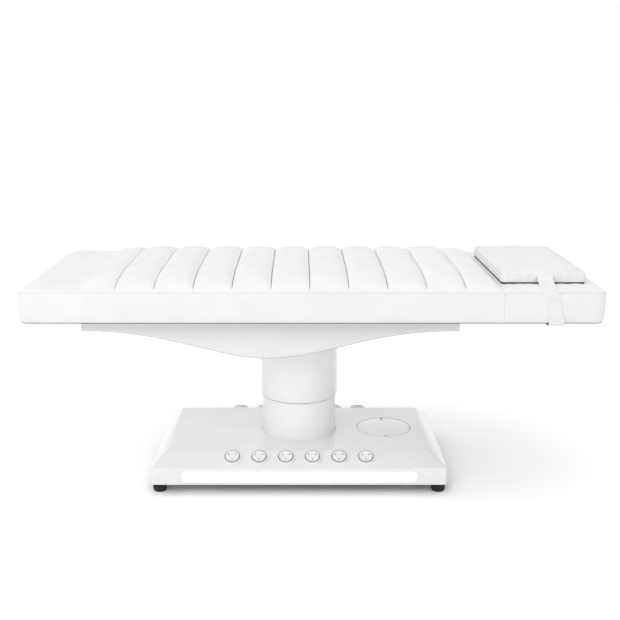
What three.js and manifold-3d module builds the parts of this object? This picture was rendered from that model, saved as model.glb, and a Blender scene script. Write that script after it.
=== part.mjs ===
import * as THREE from 'three';
import { mergeVertices } from 'three/addons/utils/BufferGeometryUtils.js';
import Module from 'manifold-3d';

// Electric beauty bed: a padded top with cross channels, carried on a tilting steel frame,
// a telescoping lift column and a low base with a row of foot buttons on each long side.
// Millimetres, +Z up, +X towards the head, -Y is the side that faces the viewer.
// The origin is on the floor under the middle of the padded top.

const wasm = await Module();
wasm.setup();

// Clearances shared by all pieces
const seatGap = 0.3;
const runGap = 0.4;
const overrun = 5;
const weldSink = 1;
const mergeDistance = 1e-4;

// Padded top
const topLength = 1964;
const topWidth = 770;
const undersideHeight = 647;
const sideHeight = 111;
const cornerRadius = 36;
const bottomEdge = 7;
const headSectionLength = 341;
const flatFootLength = 200;
const channelCount = 11;
const flatRise = 10;
const valleyRise = 33;
const crownRise = 15;
const seamRise = 4;
const flatShoulder = 90;
const baseShoulder = 230;
const rollShoulder = 130;
const endShoulder = 70;
const boardThickness = 18;
const boardInset = 8;

// Head section hinge, raised into the padding so that the top edges stay together
const hingeDrop = 12;
const grooveWidth = 5.6;
const hingeEyeRadius = 9;
const hingePinRadius = 4;
const hingeArmThickness = 6;
const hingeArmWidth = 22;
const hingeArmSetback = 12;
const hingeFootLength = 100;
const hingeFootWidth = 26;
const hingeFootThickness = 3;
const hingeSideInset = 85;
const hingeSlotSpare = 3;

// Pillow and its strap
const pillowLength = 283;
const pillowDepth = 530;
const pillowThickness = 40;
const pillowFromSeam = 7;
const pillowShiftY = -22;
const pillowCorner = 26;
const pillowEdge = 11;
const pillowCrown = 5.2;
const pillowShoulder = 75;
const pillowLowSeam = 5;
const pillowSeamInset = 1.5;
const pillowCrownShares = [0.12, 0.4, 1];
const strapWidth = 52;
const strapThickness = 1.6;
const strapFromSeam = 135;
const strapDropOnPillow = 26;

// Wave-shaped shell under the top
const shellFootEnd = -791;
const shellHeadEnd = 510;
const shellDepth = 580;
const shellWall = 4;
const shellEndHeight = 52;
const shellMidHeight = 150;
const shellLowX = -165;
const shellFootFlat = 11;
const shellHeadFlat = 5;
const shellEdgeRadius = 12;
const shellColumnClearance = 6;
const waveHandleShares = { footEnd: 0.449, footLow: 0.249, headLow: 0.336, headEnd: 0.476 };

// Steel frame of the top
const topTubeWidth = 40;
const topTubeHeight = 20;
const topTubeWall = 2.5;
const railSpacing = 300;
const railFootInset = 18;
const railHeadInset = 16;
const footCrossInset = 90;
const headCrossInset = 70;

// Tilt bearing at the top of the column
const tiltDrop = 53;
const tiltShaftRadius = 12;
const tiltShaftLength = 384;
const tiltRangeDegrees = 8;
const hangerThickness = 8;
const hangerWidth = 44;
const bearingWidth = 20;
const bearingSpacing = 352;
const bearingRadius = 19;
const bearingHeight = 26;
const headArmWidth = 80;
const headArmLength = 452;
const headPlateThickness = 8;

// Tilt actuator beside the column
const actuatorY = 205;
const actuatorLength = 430;
const actuatorSlopeDegrees = 7;
const leverArm = 64;
const actuatorTubeRadius = 18;
const actuatorTubeFrom = 20;
const actuatorTubeTo = 300;
const actuatorBoreFrom = 120;
const actuatorRodRadius = 9;
const actuatorRodFrom = 150;
const actuatorEyeRadius = 12;
const actuatorEyeWidth = 20;
const actuatorPinRadius = 6;
const actuatorFrontBore = 7.1;
const actuatorLugThickness = 8;
const actuatorLugWidth = 28;
const actuatorPinHeadRadius = 9;
const actuatorPinHeadThickness = 3;
const actuatorMotorRadius = 17;
const actuatorMotorFrom = 42;
const actuatorMotorTo = 142;
const actuatorMotorOffset = 33;

// Lift column
const pedestalX = -42;
const columnShowing = 146.5;
const liftDown = 110;
const upperTubeRadius = 144;
const upperTubeWall = 3;
const lowerTubeRadius = 138.7;
const lowerTubeWall = 4;
const stopClearance = 5;
const collarWidth = 3.4;
const collarHeight = 3;
const fixedPostSize = 110;
const slidingPostSize = 126;
const postWall = 5;
const glideHeight = 40;
const liftGearboxSize = 84;
const liftGearboxHeight = 60;
const liftTubeRadius = 22;
const liftRodRadius = 12;
const liftRodLength = 355;
const liftBoreSpare = 3;
const liftTubeTopInset = 15;

// Base cover
const coverLength = 1056;
const coverDepth = 603;
const coverTopLength = 946;
const coverTopDepth = 459;
const skirtHeight = 61;
const slopeHeight = 42.5;
const coverWall = 3.5;
const coverCorner = 9;
const coverEdge = 2.4;

// Adjustable feet
const footHeight = 35;
const footRadius = 25;
const footNeckRadius = 17;
const footStudRadius = 7;
const footRubberHeight = 29;
const footShares = { bevel: 1 / 6, widest: 1 / 3, shoulder: 0.7 };
const footEndInset = 2;
const footSideInset = 12;

// Steel chassis in the base
const frameTubeWidth = 40;
const frameTubeHeight = 30;
const frameTubeWall = 3;
const frameRise = 5;
const frameEndInset = 14;
const chassisCrossX = 300;
const carrierSpacing = 260;
const carrierPlateSize = 330;
const carrierPlateThickness = 10;

// Foot buttons and their switch strips
const buttonCount = 6;
const buttonPitch = 95.5;
const buttonSlopeShare = 0.58;
const collarOuterRadius = 32.5;
const collarBore = 27;
const collarProud = 8;
const buttonRadius = 25.5;
const buttonProud = 15;
const buttonThickness = 12;
const buttonEdge = 3;
const stemRadius = 6;
const stemLength = 25;
const stripThickness = 6;
const stripWidth = 60;
const stripEndSpare = 46;
const switchSize = 30;
const switchDepth = 16;

// Light strip
const lightLength = 836.5;
const lightHeight = 38;
const lightCentreHeight = 64.5;
const lightFlange = 5;
const lightFlangeThickness = 2;
const ledCarrierHeight = 24;
const ledCarrierThickness = 6;
const ledCarrierInset = 40;

// Service hatch and control box
const hatchX = 325;
const hatchY = 6;
const hatchRadius = 101.5;
const hatchThickness = 3;
const ledgeWidth = 15;
const ledgeThickness = 4;
const hatchScrewCircle = 94;
const screwHeadRadius = 4;
const screwHeadHeight = 2;
const screwShankRadius = 2.5;
const screwLength = 12;
const controlBoxLength = 220;
const controlBoxDepth = 150;
const controlBoxHeight = 42;
const controlBoxCorner = 10;

// Mains inlet in the skirt at the foot end
const inletY = 120;
const inletCentreHeight = 66;
const inletFlangeWidth = 36;
const inletFlangeHeight = 28;
const inletFlangeThickness = 2;
const inletBodyWidth = 28;
const inletBodyHeight = 21;
const inletBodyDepth = 24;
const inletMouthWidth = 24;
const inletMouthHeight = 16.5;
const inletMouthDepth = 17;
const bladeWidth = 2;
const bladeHeight = 4;
const bladeLength = 10;
const bladeSpacing = 7;
const bladeLift = 2;

// Numbers of sides and steps
const tubeSides = 44;
const roundSides = 20;
const smallSides = 12;
const cornerSteps = 4;
const waveSteps = 11;
const rollShares = [0, 0.1, 0.34, 0.66, 0.9];
const topDepthShares = [0.96, 0.85, 0.68, 0.46, 0];

// Heights that follow from the sizes above
const seamHeight = undersideHeight + sideHeight;
const hingeHeight = seamHeight - hingeDrop;
const tiltHeight = undersideHeight - tiltDrop;
const headPlateTop = tiltHeight - bearingHeight;
const headPlateBottom = headPlateTop - headPlateThickness;
const skirtTop = footHeight + skirtHeight;
const coverTop = skirtTop + slopeHeight;
const frameBottom = footHeight + frameRise;
const frameTop = frameBottom + frameTubeHeight;
const carrierTop = frameTop + carrierPlateThickness;
const footX = coverLength / 2 - footEndInset - footRadius;
const footY = coverDepth / 2 - footSideInset - footRadius;
const footEndX = -topLength / 2;
const headEndX = topLength / 2;
const seamX = headEndX - headSectionLength;
const channelPitch = (seamX - footEndX - flatFootLength) / channelCount;
const hingeSpacing = topWidth - 2 * hingeSideInset;

const materials = {
  upholstery: new THREE.MeshStandardMaterial({ color: '#f6f5f4', roughness: 0.45, metalness: 0 }),
  gloss: new THREE.MeshStandardMaterial({ color: '#f0efef', roughness: 0.2, metalness: 0 }),
  paintedTube: new THREE.MeshStandardMaterial({ color: '#eceaea', roughness: 0.25, metalness: 0.1 }),
  steel: new THREE.MeshStandardMaterial({ color: '#b9bcc0', roughness: 0.4, metalness: 0.9 }),
  blackPaint: new THREE.MeshStandardMaterial({ color: '#2b2c2e', roughness: 0.5, metalness: 0.3 }),
  wood: new THREE.MeshStandardMaterial({ color: '#c9a877', roughness: 0.7, metalness: 0 }),
  rubber: new THREE.MeshStandardMaterial({ color: '#161616', roughness: 0.8, metalness: 0 }),
  darkPlastic: new THREE.MeshStandardMaterial({ color: '#3a3b3d', roughness: 0.6, metalness: 0 }),
  button: new THREE.MeshStandardMaterial({ color: '#f4f4f4', roughness: 0.3, metalness: 0 }),
  light: new THREE.MeshStandardMaterial({ color: '#ffffff', roughness: 0.5, metalness: 0 }),
  aluminium: new THREE.MeshStandardMaterial({ color: '#c6c8ca', roughness: 0.35, metalness: 0.9 }),
};

// Joins shared corners, drops empty triangles and turns the faces outwards
function closed(geometry) {
  const bare = geometry.index ? geometry.toNonIndexed() : geometry.clone();
  for (const name of Object.keys(bare.attributes)) {
    if (name !== 'position') bare.deleteAttribute(name);
  }
  const merged = mergeVertices(bare, mergeDistance);
  const position = merged.attributes.position;
  const old = merged.index.array;
  const [a, b, c] = [new THREE.Vector3(), new THREE.Vector3(), new THREE.Vector3()];
  const kept = [];
  let volume = 0;
  for (let i = 0; i < old.length; i += 3) {
    if (old[i] === old[i + 1] || old[i + 1] === old[i + 2] || old[i] === old[i + 2]) continue;
    kept.push(old[i], old[i + 1], old[i + 2]);
    a.fromBufferAttribute(position, old[i]);
    b.fromBufferAttribute(position, old[i + 1]);
    c.fromBufferAttribute(position, old[i + 2]);
    volume += a.dot(b.cross(c));
  }
  if (volume < 0) kept.reverse();
  merged.setIndex(kept);
  return merged;
}

function toSolid(geometry) {
  const clean = closed(geometry);
  return new wasm.Manifold(new wasm.Mesh({
    numProp: 3,
    vertProperties: new Float32Array(clean.attributes.position.array),
    triVerts: new Uint32Array(clean.index.array),
  }));
}

function toGeometry(solid) {
  const mesh = solid.getMesh();
  const geometry = new THREE.BufferGeometry();
  geometry.setAttribute('position', new THREE.BufferAttribute(mesh.vertProperties, 3));
  geometry.setIndex(new THREE.BufferAttribute(mesh.triVerts, 1));
  return geometry;
}

function join(first, ...others) {
  return toGeometry(others.reduce((sum, other) => sum.add(toSolid(other)), toSolid(first)));
}

function cut(first, ...tools) {
  return toGeometry(tools.reduce((rest, tool) => rest.subtract(toSolid(tool)), toSolid(first)));
}

// A block between two corners
function block(x0, x1, y0, y1, z0, z1) {
  return new THREE.BoxGeometry(x1 - x0, y1 - y0, z1 - z0)
    .translate((x0 + x1) / 2, (y0 + y1) / 2, (z0 + z1) / 2);
}

// A round bar along an axis, from one value on that axis to another
function bar(axis, radius, from, to, u, v, sides) {
  const geometry = new THREE.CylinderGeometry(radius, radius, to - from, sides);
  geometry.translate(0, (from + to) / 2, 0);
  if (axis === 'x') return geometry.rotateZ(-Math.PI / 2).translate(0, u, v);
  if (axis === 'z') return geometry.rotateX(Math.PI / 2).translate(u, v, 0);
  return geometry.translate(u, 0, v);
}

// A profile of [radius, height] pairs turned about Z
function turned(profile, sides) {
  const points = profile.map(([radius, height]) => new THREE.Vector2(radius, height));
  return new THREE.LatheGeometry(points, sides).rotateX(Math.PI / 2);
}

function ring(outer, inner, from, to, sides) {
  return turned([[inner, from], [outer, from], [outer, to], [inner, to], [inner, from]], sides);
}

// A closed tube of rectangular section along X or Y
function rectangularTube(axis, length, width, height, wall) {
  const outline = new THREE.Shape();
  outline.moveTo(-width / 2, -height / 2);
  outline.lineTo(width / 2, -height / 2);
  outline.lineTo(width / 2, height / 2);
  outline.lineTo(-width / 2, height / 2);
  const bore = new THREE.Path();
  bore.moveTo(-width / 2 + wall, -height / 2 + wall);
  bore.lineTo(-width / 2 + wall, height / 2 - wall);
  bore.lineTo(width / 2 - wall, height / 2 - wall);
  bore.lineTo(width / 2 - wall, -height / 2 + wall);
  outline.holes.push(bore);
  const tube = new THREE.ExtrudeGeometry(outline, { depth: length, bevelEnabled: false });
  tube.translate(0, 0, -length / 2).rotateX(Math.PI / 2);
  return axis === 'x' ? tube.rotateZ(Math.PI / 2) : tube;
}

// A closed skin through sections that all have the same number of points
function loft(sections, flatten) {
  const count = sections[0].length;
  const position = [];
  for (const section of sections) for (const point of section) position.push(point.x, point.y, point.z);
  const index = [];
  for (let i = 0; i + 1 < sections.length; i++) {
    for (let k = 0; k < count; k++) {
      const next = (k + 1) % count;
      const [a, b] = [i * count + k, i * count + next];
      index.push(a, b, b + count, a, b + count, a + count);
    }
  }
  const last = (sections.length - 1) * count;
  for (const [u, v, w] of THREE.ShapeUtils.triangulateShape(sections[0].map(flatten), [])) {
    index.push(w, v, u);
  }
  for (const [u, v, w] of THREE.ShapeUtils.triangulateShape(sections.at(-1).map(flatten), [])) {
    index.push(last + u, last + v, last + w);
  }
  const geometry = new THREE.BufferGeometry();
  geometry.setAttribute('position', new THREE.Float32BufferAttribute(position, 3));
  geometry.setIndex(index);
  return geometry;
}

const flattenZ = (point) => new THREE.Vector2(point.x, point.y);
const flattenX = (point) => new THREE.Vector2(point.y, point.z);

// One level of a body with rounded corners: a rectangle with arcs, at height z
function roundedLevel(halfLength, halfDepth, radius, z) {
  const points = [];
  for (let corner = 0; corner < 4; corner++) {
    const signX = corner === 0 || corner === 3 ? 1 : -1;
    const signY = corner < 2 ? 1 : -1;
    for (let step = 0; step <= cornerSteps; step++) {
      const angle = (corner + step / cornerSteps) * Math.PI / 2;
      points.push(new THREE.Vector3(
        signX * (halfLength - radius) + radius * Math.cos(angle),
        signY * (halfDepth - radius) + radius * Math.sin(angle),
        z,
      ));
    }
  }
  return points;
}

function roundedBox(length, depth, radius, z0, z1) {
  return loft([
    roundedLevel(length / 2, depth / 2, radius, z0),
    roundedLevel(length / 2, depth / 2, radius, z1),
  ], flattenZ);
}

function addTo(group, name, geometry, material) {
  const mesh = new THREE.Mesh(closed(geometry), material);
  mesh.name = name;
  group.add(mesh);
  return mesh;
}

function groupAt(parent, x, y, z) {
  const group = new THREE.Group();
  group.position.set(x, y, z);
  parent.add(group);
  return group;
}

// Upholstery

// How far the padding has risen at a distance in from its edge
function shoulder(distance, width) {
  return Math.sin(Math.PI / 2 * Math.min(1, Math.max(0, distance / width)));
}

// A section across the padding: flat under side, upright sides, top that rises from the piping
function padSection(x, inset, edgeHeight, rise, crown) {
  const half = topWidth / 2 - inset;
  const side = [
    new THREE.Vector3(x, half - bottomEdge, undersideHeight),
    new THREE.Vector3(x, half, undersideHeight + bottomEdge),
    new THREE.Vector3(x, half, edgeHeight),
  ];
  const across = topDepthShares.map((share) => {
    const distance = half * (1 - share);
    const lift = Math.min(rise, flatRise) * shoulder(distance, flatShoulder)
      + Math.max(rise - flatRise, 0) * shoulder(distance, baseShoulder)
      + crown * shoulder(distance, rollShoulder);
    return new THREE.Vector3(x, half * share, edgeHeight + lift);
  });
  const rightHalf = [...side, ...across];
  const leftHalf = rightHalf.slice(0, -1).reverse()
    .map((point) => new THREE.Vector3(point.x, -point.y, point.z));
  return [...rightHalf, ...leftHalf];
}

// Sections round the two upright corners at an end of the top; sign is -1 at the foot end
function roundedEnd(sign) {
  const sections = [];
  for (let step = 0; step <= cornerSteps; step++) {
    const angle = step / cornerSteps * Math.PI / 2;
    const into = cornerRadius * (1 - Math.cos(angle));
    const inset = cornerRadius * (1 - Math.sin(angle));
    sections.push(padSection(sign * (topLength / 2 - into), inset, seamHeight,
      flatRise * shoulder(into, endShoulder), 0));
  }
  return sections;
}

// The part of the foot or head area between its rounded end and its flat top
function flatStart(sign) {
  return padSection(sign * (topLength / 2 - endShoulder), 0, seamHeight, flatRise, 0);
}

// Height of the roll between two stitch lines, an ellipse over its width
function rollHeight(share) {
  return crownRise * Math.sqrt(1 - (2 * share - 1) ** 2);
}

// The base line that the rolls stand on: it climbs in the first roll and drops in the last
function rollBase(channel, share) {
  if (channel === 0) return flatRise + (valleyRise - flatRise) * share;
  if (channel === channelCount - 1) return valleyRise + (seamRise - valleyRise) * share;
  return valleyRise;
}

function mattressBody() {
  const sections = [...roundedEnd(-1), flatStart(-1)];
  for (let channel = 0; channel < channelCount; channel++) {
    for (const share of rollShares) {
      const x = footEndX + flatFootLength + (channel + share) * channelPitch;
      sections.push(padSection(x, 0, seamHeight, rollBase(channel, share), rollHeight(share)));
    }
  }
  sections.push(padSection(seamX - grooveWidth, 0, seamHeight, seamRise, 0));
  sections.push(padSection(seamX - seatGap / 2, 0, hingeHeight, 0, 0));
  return loft(sections, flattenX);
}

function headPadBody() {
  const sections = [
    padSection(seamX + seatGap / 2, 0, hingeHeight, 0, 0),
    padSection(seamX + grooveWidth, 0, seamHeight, seamRise, 0),
    padSection(seamX + endShoulder, 0, seamHeight, flatRise, 0),
    flatStart(1),
    ...roundedEnd(1).reverse(),
  ];
  return loft(sections, flattenX);
}

// A board's outline, rounded at the outer end and square at the seam; sign is -1 at the foot end
function boardForm(x0, x1, half, rounding, z0, z1, sign) {
  const panel = roundedBox(x1 - x0, 2 * half, rounding, z0, z1).translate((x0 + x1) / 2, 0, 0);
  const seamEnd = sign < 0 ? block(x1 - rounding, x1, -half, half, z0, z1)
    : block(x0, x0 + rounding, -half, half, z0, z1);
  return join(panel, seamEnd);
}

// The recess under the padding that holds the board
function boardRecess(x0, x1, sign) {
  return boardForm(x0 - seatGap, x1 + seatGap, topWidth / 2 - boardInset + seatGap,
    cornerRadius - boardInset + seatGap, undersideHeight - overrun,
    undersideHeight + boardThickness + seatGap, sign);
}

// The slot round a hinge's arms, open at the seam; sign is -1 on the main side of the seam
function hingeSlot(sideY, sign) {
  const reach = hingeArmSetback + hingeArmWidth + hingeSlotSpare;
  const inner = hingeSpacing / 2 - hingeSlotSpare;
  const outer = hingeSpacing / 2 + 2 * hingeArmThickness + seatGap + hingeSlotSpare;
  const [x0, x1] = sign < 0 ? [seamX - reach, seamX + overrun] : [seamX - overrun, seamX + reach];
  const [y0, y1] = sideY > 0 ? [inner, outer] : [-outer, -inner];
  return block(x0, x1, y0, y1, undersideHeight - overrun, hingeHeight + hingeEyeRadius + seatGap);
}

function board(x0, x1, sign) {
  const form = boardForm(x0, x1, topWidth / 2 - boardInset, cornerRadius - boardInset,
    undersideHeight, undersideHeight + boardThickness, sign);
  return cut(form, hingeSlot(1, sign), hingeSlot(-1, sign));
}

// A flat cushion: an under face, sides drawn in at both seams and an upper face with a crown
function pillow() {
  const level = (inset, z) => roundedLevel(pillowLength / 2 - inset, pillowDepth / 2 - inset,
    Math.max(pillowCorner - inset, pillowSeamInset), z);
  const topSeam = pillowThickness - pillowCrown;
  return loft([
    level(pillowEdge, 0),
    level(pillowSeamInset, pillowLowSeam),
    level(0, (pillowLowSeam + topSeam) / 2),
    level(pillowSeamInset, topSeam),
    ...pillowCrownShares.map((share) => level(pillowSeamInset + share * pillowShoulder,
      topSeam + pillowCrown * shoulder(share, 1))),
  ], flattenZ);
}

// The strap runs from the pillow's front seam, down the side, under the top and up to the rear seam
function strap(pillowTop) {
  const outer = topWidth / 2 + seatGap + strapThickness;
  const under = undersideHeight - hingeFootThickness - 2 * seatGap - strapThickness;
  const frontY = pillowShiftY - pillowDepth / 2 - seatGap;
  const rearY = pillowShiftY + pillowDepth / 2 + seatGap;
  const seamLevel = pillowTop - pillowEdge;
  const dropLevel = seamLevel - strapDropOnPillow / 2;
  const line = [
    [frontY, seamLevel], [frontY, dropLevel],
    [-outer + strapThickness, seamHeight + seatGap], [-outer + strapThickness, under + strapThickness],
    [outer - strapThickness, under + strapThickness], [outer - strapThickness, seamHeight + seatGap],
    [rearY, dropLevel], [rearY, seamLevel],
  ];
  const skin = [
    [rearY + strapThickness, seamLevel], [rearY + strapThickness, dropLevel + strapThickness],
    [outer, seamHeight + seatGap + strapThickness], [outer, under],
    [-outer, under], [-outer, seamHeight + seatGap + strapThickness],
    [frontY - strapThickness, dropLevel + strapThickness], [frontY - strapThickness, seamLevel],
  ];
  const outline = new THREE.Shape([...line, ...skin].map(([y, z]) => new THREE.Vector2(y, z)));
  return new THREE.ExtrudeGeometry(outline, { depth: strapWidth, bevelEnabled: false })
    .rotateX(Math.PI / 2).rotateZ(Math.PI / 2);
}

// Hinges of the head section

// One arm in the XZ plane: an eye at the axis, an upright and a foot; the foot points to -X
function hingeArm(footTop) {
  const half = hingeArmThickness / 2;
  const outline = new THREE.Shape();
  outline.moveTo(-hingeArmSetback - hingeArmWidth, footTop - weldSink);
  outline.lineTo(-hingeArmSetback, footTop - weldSink);
  outline.lineTo(-hingeArmSetback, -hingeArmWidth);
  outline.lineTo(hingeEyeRadius * Math.cos(Math.PI / 4), -hingeEyeRadius * Math.sin(Math.PI / 4));
  outline.absarc(0, 0, hingeEyeRadius, -Math.PI / 4, Math.PI * 3 / 4, false);
  outline.lineTo(-hingeArmSetback - hingeArmWidth, -hingeArmWidth);
  const upright = new THREE.ExtrudeGeometry(outline, {
    depth: hingeArmThickness, bevelEnabled: false, curveSegments: smallSides / 2,
  }).rotateX(Math.PI / 2).translate(0, half, 0);
  const foot = block(-hingeFootLength, -hingeArmSetback, -hingeFootWidth / 2, hingeFootWidth / 2,
    footTop - hingeFootThickness, footTop);
  return join(upright, foot);
}

function fixedHingeArm(footTop) {
  const pinEnd = hingeArmThickness / 2 + seatGap + hingeArmThickness;
  const pin = bar('y', hingePinRadius, 0, pinEnd, 0, 0, smallSides);
  return join(hingeArm(footTop), pin);
}

function movingHingeArm(footTop) {
  const bore = bar('y', hingePinRadius + runGap, -hingeArmThickness, hingeArmThickness, 0, 0, smallSides);
  return cut(hingeArm(footTop).rotateZ(Math.PI), bore);
}

// The same arm for the other side of the bed, its pin pointing to -Y
function mirrored(geometry) {
  return geometry.scale(1, -1, 1);
}

// Underside shell

// The lower edge as [x, height] pairs: two S-shaped curves that meet at the lowest point
function waveEdge() {
  const endHeight = undersideHeight - shellEndHeight;
  const lowHeight = undersideHeight - shellMidHeight;
  const footStart = shellFootEnd + shellFootFlat;
  const headStop = shellHeadEnd - shellHeadFlat;
  const footSpan = shellLowX - footStart;
  const headSpan = headStop - shellLowX;
  const at = (x, z) => new THREE.Vector2(x, z);
  const foot = new THREE.CubicBezierCurve(at(footStart, endHeight),
    at(footStart + footSpan * waveHandleShares.footEnd, endHeight),
    at(shellLowX - footSpan * waveHandleShares.footLow, lowHeight), at(shellLowX, lowHeight));
  const head = new THREE.CubicBezierCurve(at(shellLowX, lowHeight),
    at(shellLowX + headSpan * waveHandleShares.headLow, lowHeight),
    at(headStop - headSpan * waveHandleShares.headEnd, endHeight), at(headStop, endHeight));
  const points = [...foot.getPoints(waveSteps), ...head.getPoints(waveSteps).slice(1)];
  return [at(shellFootEnd, endHeight), ...points, at(shellHeadEnd, endHeight)];
}

// A trough that follows the wave, drawn in by an inset on its sides, ends and under side
function waveTrough(inset, top) {
  const half = shellDepth / 2 - inset;
  const radius = shellEdgeRadius - inset;
  const lean = radius * (1 - Math.SQRT1_2);
  const edge = waveEdge();
  return loft(edge.map((point, i) => {
    const towards = i === 0 ? inset : i === edge.length - 1 ? -inset : 0;
    const [x, z] = [point.x + towards, point.y + inset];
    const right = [
      new THREE.Vector3(x, half - radius, z),
      new THREE.Vector3(x, half - lean, z + lean),
      new THREE.Vector3(x, half, z + radius),
      new THREE.Vector3(x, half, top),
    ];
    const left = [...right].reverse().map((p) => new THREE.Vector3(p.x, -p.y, p.z));
    return [...right, ...left];
  }), flattenX);
}

function undersideShell() {
  const top = undersideHeight - seatGap;
  const swing = (tiltDrop - shellMidHeight) * Math.sin(THREE.MathUtils.degToRad(tiltRangeDegrees));
  const halfY = upperTubeRadius + shellColumnClearance;
  const reachX = Math.abs(swing) + shellColumnClearance;
  const [z0, z1] = [undersideHeight - shellMidHeight - overrun, tiltHeight - bearingHeight];
  const roundEnd = (sign) => bar('z', halfY, z0, z1, pedestalX + sign * reachX, 0, tubeSides);
  const middle = block(pedestalX - reachX, pedestalX + reachX, -halfY, halfY, z0, z1);
  return cut(waveTrough(0, top), waveTrough(shellWall, top + overrun),
    roundEnd(-1), roundEnd(1), middle);
}

// Top frame

const railHeight = undersideHeight - seatGap - topTubeHeight / 2;
const crossHeight = railHeight - topTubeHeight - seatGap;
const crossLength = shellDepth - 2 * shellWall - 2 * seatGap;

function topRail() {
  const x0 = shellFootEnd + railFootInset;
  const x1 = shellHeadEnd - railHeadInset;
  const tube = rectangularTube('x', x1 - x0, topTubeWidth, topTubeHeight, topTubeWall)
    .translate((x0 + x1) / 2, 0, railHeight);
  const half = hangerThickness / 2;
  const plate = block(pedestalX - hangerWidth / 2, pedestalX + hangerWidth / 2, -half, half,
    tiltHeight, railHeight - topTubeHeight / 2 + weldSink);
  const eye = bar('y', hangerWidth / 2, -half, half, pedestalX, tiltHeight, roundSides);
  const bore = bar('y', tiltShaftRadius + seatGap, -overrun, overrun, pedestalX, tiltHeight, roundSides);
  return cut(join(tube, plate, eye), bore);
}

function topCross() {
  return rectangularTube('y', crossLength, topTubeWidth, topTubeHeight, topTubeWall);
}

// A lug that hangs from z = drop down to a pin along Y at the origin; the rod eye turns on the pin
function pinLug(drop) {
  const plateFrom = actuatorEyeWidth / 2 + seatGap;
  const plateTo = plateFrom + actuatorLugThickness;
  const pinFrom = -actuatorEyeWidth / 2 - seatGap;
  const plate = block(-actuatorLugWidth / 2, actuatorLugWidth / 2, plateFrom, plateTo, 0, drop);
  const end = bar('y', actuatorLugWidth / 2, plateFrom, plateTo, 0, 0, roundSides);
  const pin = bar('y', actuatorPinRadius, pinFrom, plateTo, 0, 0, roundSides);
  const head = bar('y', actuatorPinHeadRadius, pinFrom - actuatorPinHeadThickness, pinFrom,
    0, 0, roundSides);
  return join(plate, end, pin, head);
}

const slopeRadians = THREE.MathUtils.degToRad(actuatorSlopeDegrees);
const frontPin = {
  x: pedestalX - leverArm * Math.sin(slopeRadians),
  z: tiltHeight - leverArm * Math.cos(slopeRadians),
};
const rearPin = {
  x: frontPin.x - actuatorLength * Math.cos(slopeRadians),
  z: frontPin.z + actuatorLength * Math.sin(slopeRadians),
};

function actuatorCross() {
  const underCross = crossHeight - topTubeHeight / 2;
  const lug = pinLug(underCross + weldSink - rearPin.z).translate(0, actuatorY, rearPin.z - crossHeight);
  return join(topCross(), lug);
}

// The actuator lies along +X from its rear pin at the origin
function actuatorBody() {
  const half = actuatorEyeWidth / 2;
  const eye = bar('y', actuatorEyeRadius, -half, half, 0, 0, roundSides);
  const neck = block(0, actuatorTubeFrom + weldSink, -half, half, -half, half);
  const tube = bar('x', actuatorTubeRadius, actuatorTubeFrom, actuatorTubeTo, 0, 0, roundSides);
  const motor = bar('x', actuatorMotorRadius, actuatorMotorFrom, actuatorMotorTo,
    -actuatorMotorOffset, 0, roundSides);
  const housing = block(actuatorMotorTo - actuatorMotorRadius, actuatorMotorTo + actuatorMotorRadius,
    -actuatorMotorOffset - actuatorMotorRadius, actuatorTubeRadius,
    -actuatorTubeRadius, actuatorTubeRadius);
  const pinBore = bar('y', actuatorPinRadius + runGap, -actuatorEyeWidth, actuatorEyeWidth,
    0, 0, roundSides);
  const rodBore = bar('x', actuatorRodRadius + runGap, actuatorBoreFrom, actuatorTubeTo + overrun,
    0, 0, roundSides);
  return cut(join(eye, neck, tube, motor, housing), pinBore, rodBore);
}

function actuatorRod() {
  const half = actuatorEyeWidth / 2;
  const shank = bar('x', actuatorRodRadius, actuatorRodFrom, actuatorLength, 0, 0, roundSides);
  const eye = bar('y', actuatorEyeRadius, -half, half, actuatorLength, 0, roundSides);
  const bore = bar('y', actuatorFrontBore, -actuatorEyeWidth, actuatorEyeWidth,
    actuatorLength, 0, roundSides);
  return cut(join(shank, eye), bore);
}

// Column head: round plate with two arms, a bearing block near the end of each arm
// and the lug that the tilt actuator pushes on
function columnHead() {
  const plate = bar('z', upperTubeRadius, headPlateBottom, headPlateTop, 0, 0, tubeSides);
  const arms = block(-headArmWidth / 2, headArmWidth / 2, -headArmLength / 2, headArmLength / 2,
    headPlateBottom, headPlateTop);
  const parts = [];
  const bores = [];
  for (const side of [-1, 1]) {
    const y0 = side * bearingSpacing / 2 - bearingWidth / 2;
    const y1 = y0 + bearingWidth;
    parts.push(block(-bearingRadius, bearingRadius, y0, y1, headPlateTop - weldSink, tiltHeight));
    parts.push(bar('y', bearingRadius, y0, y1, 0, tiltHeight, roundSides));
    bores.push(bar('y', tiltShaftRadius + runGap, y0 - overrun, y1 + overrun, 0, tiltHeight, roundSides));
  }
  const lug = pinLug(headPlateBottom + weldSink - frontPin.z)
    .translate(frontPin.x - pedestalX, actuatorY, frontPin.z);
  return cut(join(plate, arms, ...parts, lug), ...bores);
}

// Lift column

const lowerTubeTop = headPlateBottom - liftDown - stopClearance;
const postTop = lowerTubeTop - stopClearance;
const seatOnCarrier = carrierTop + seatGap;
const underHeadPlate = headPlateBottom - seatGap;
const slidingPostBottom = seatOnCarrier + liftDown + stopClearance;

function squareTube(size, wall, z0, z1) {
  const half = size / 2;
  const inner = half - wall;
  return cut(block(-half, half, -half, half, z0, z1),
    block(-inner, inner, -inner, inner, z0 - overrun, z1 + overrun));
}

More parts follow.
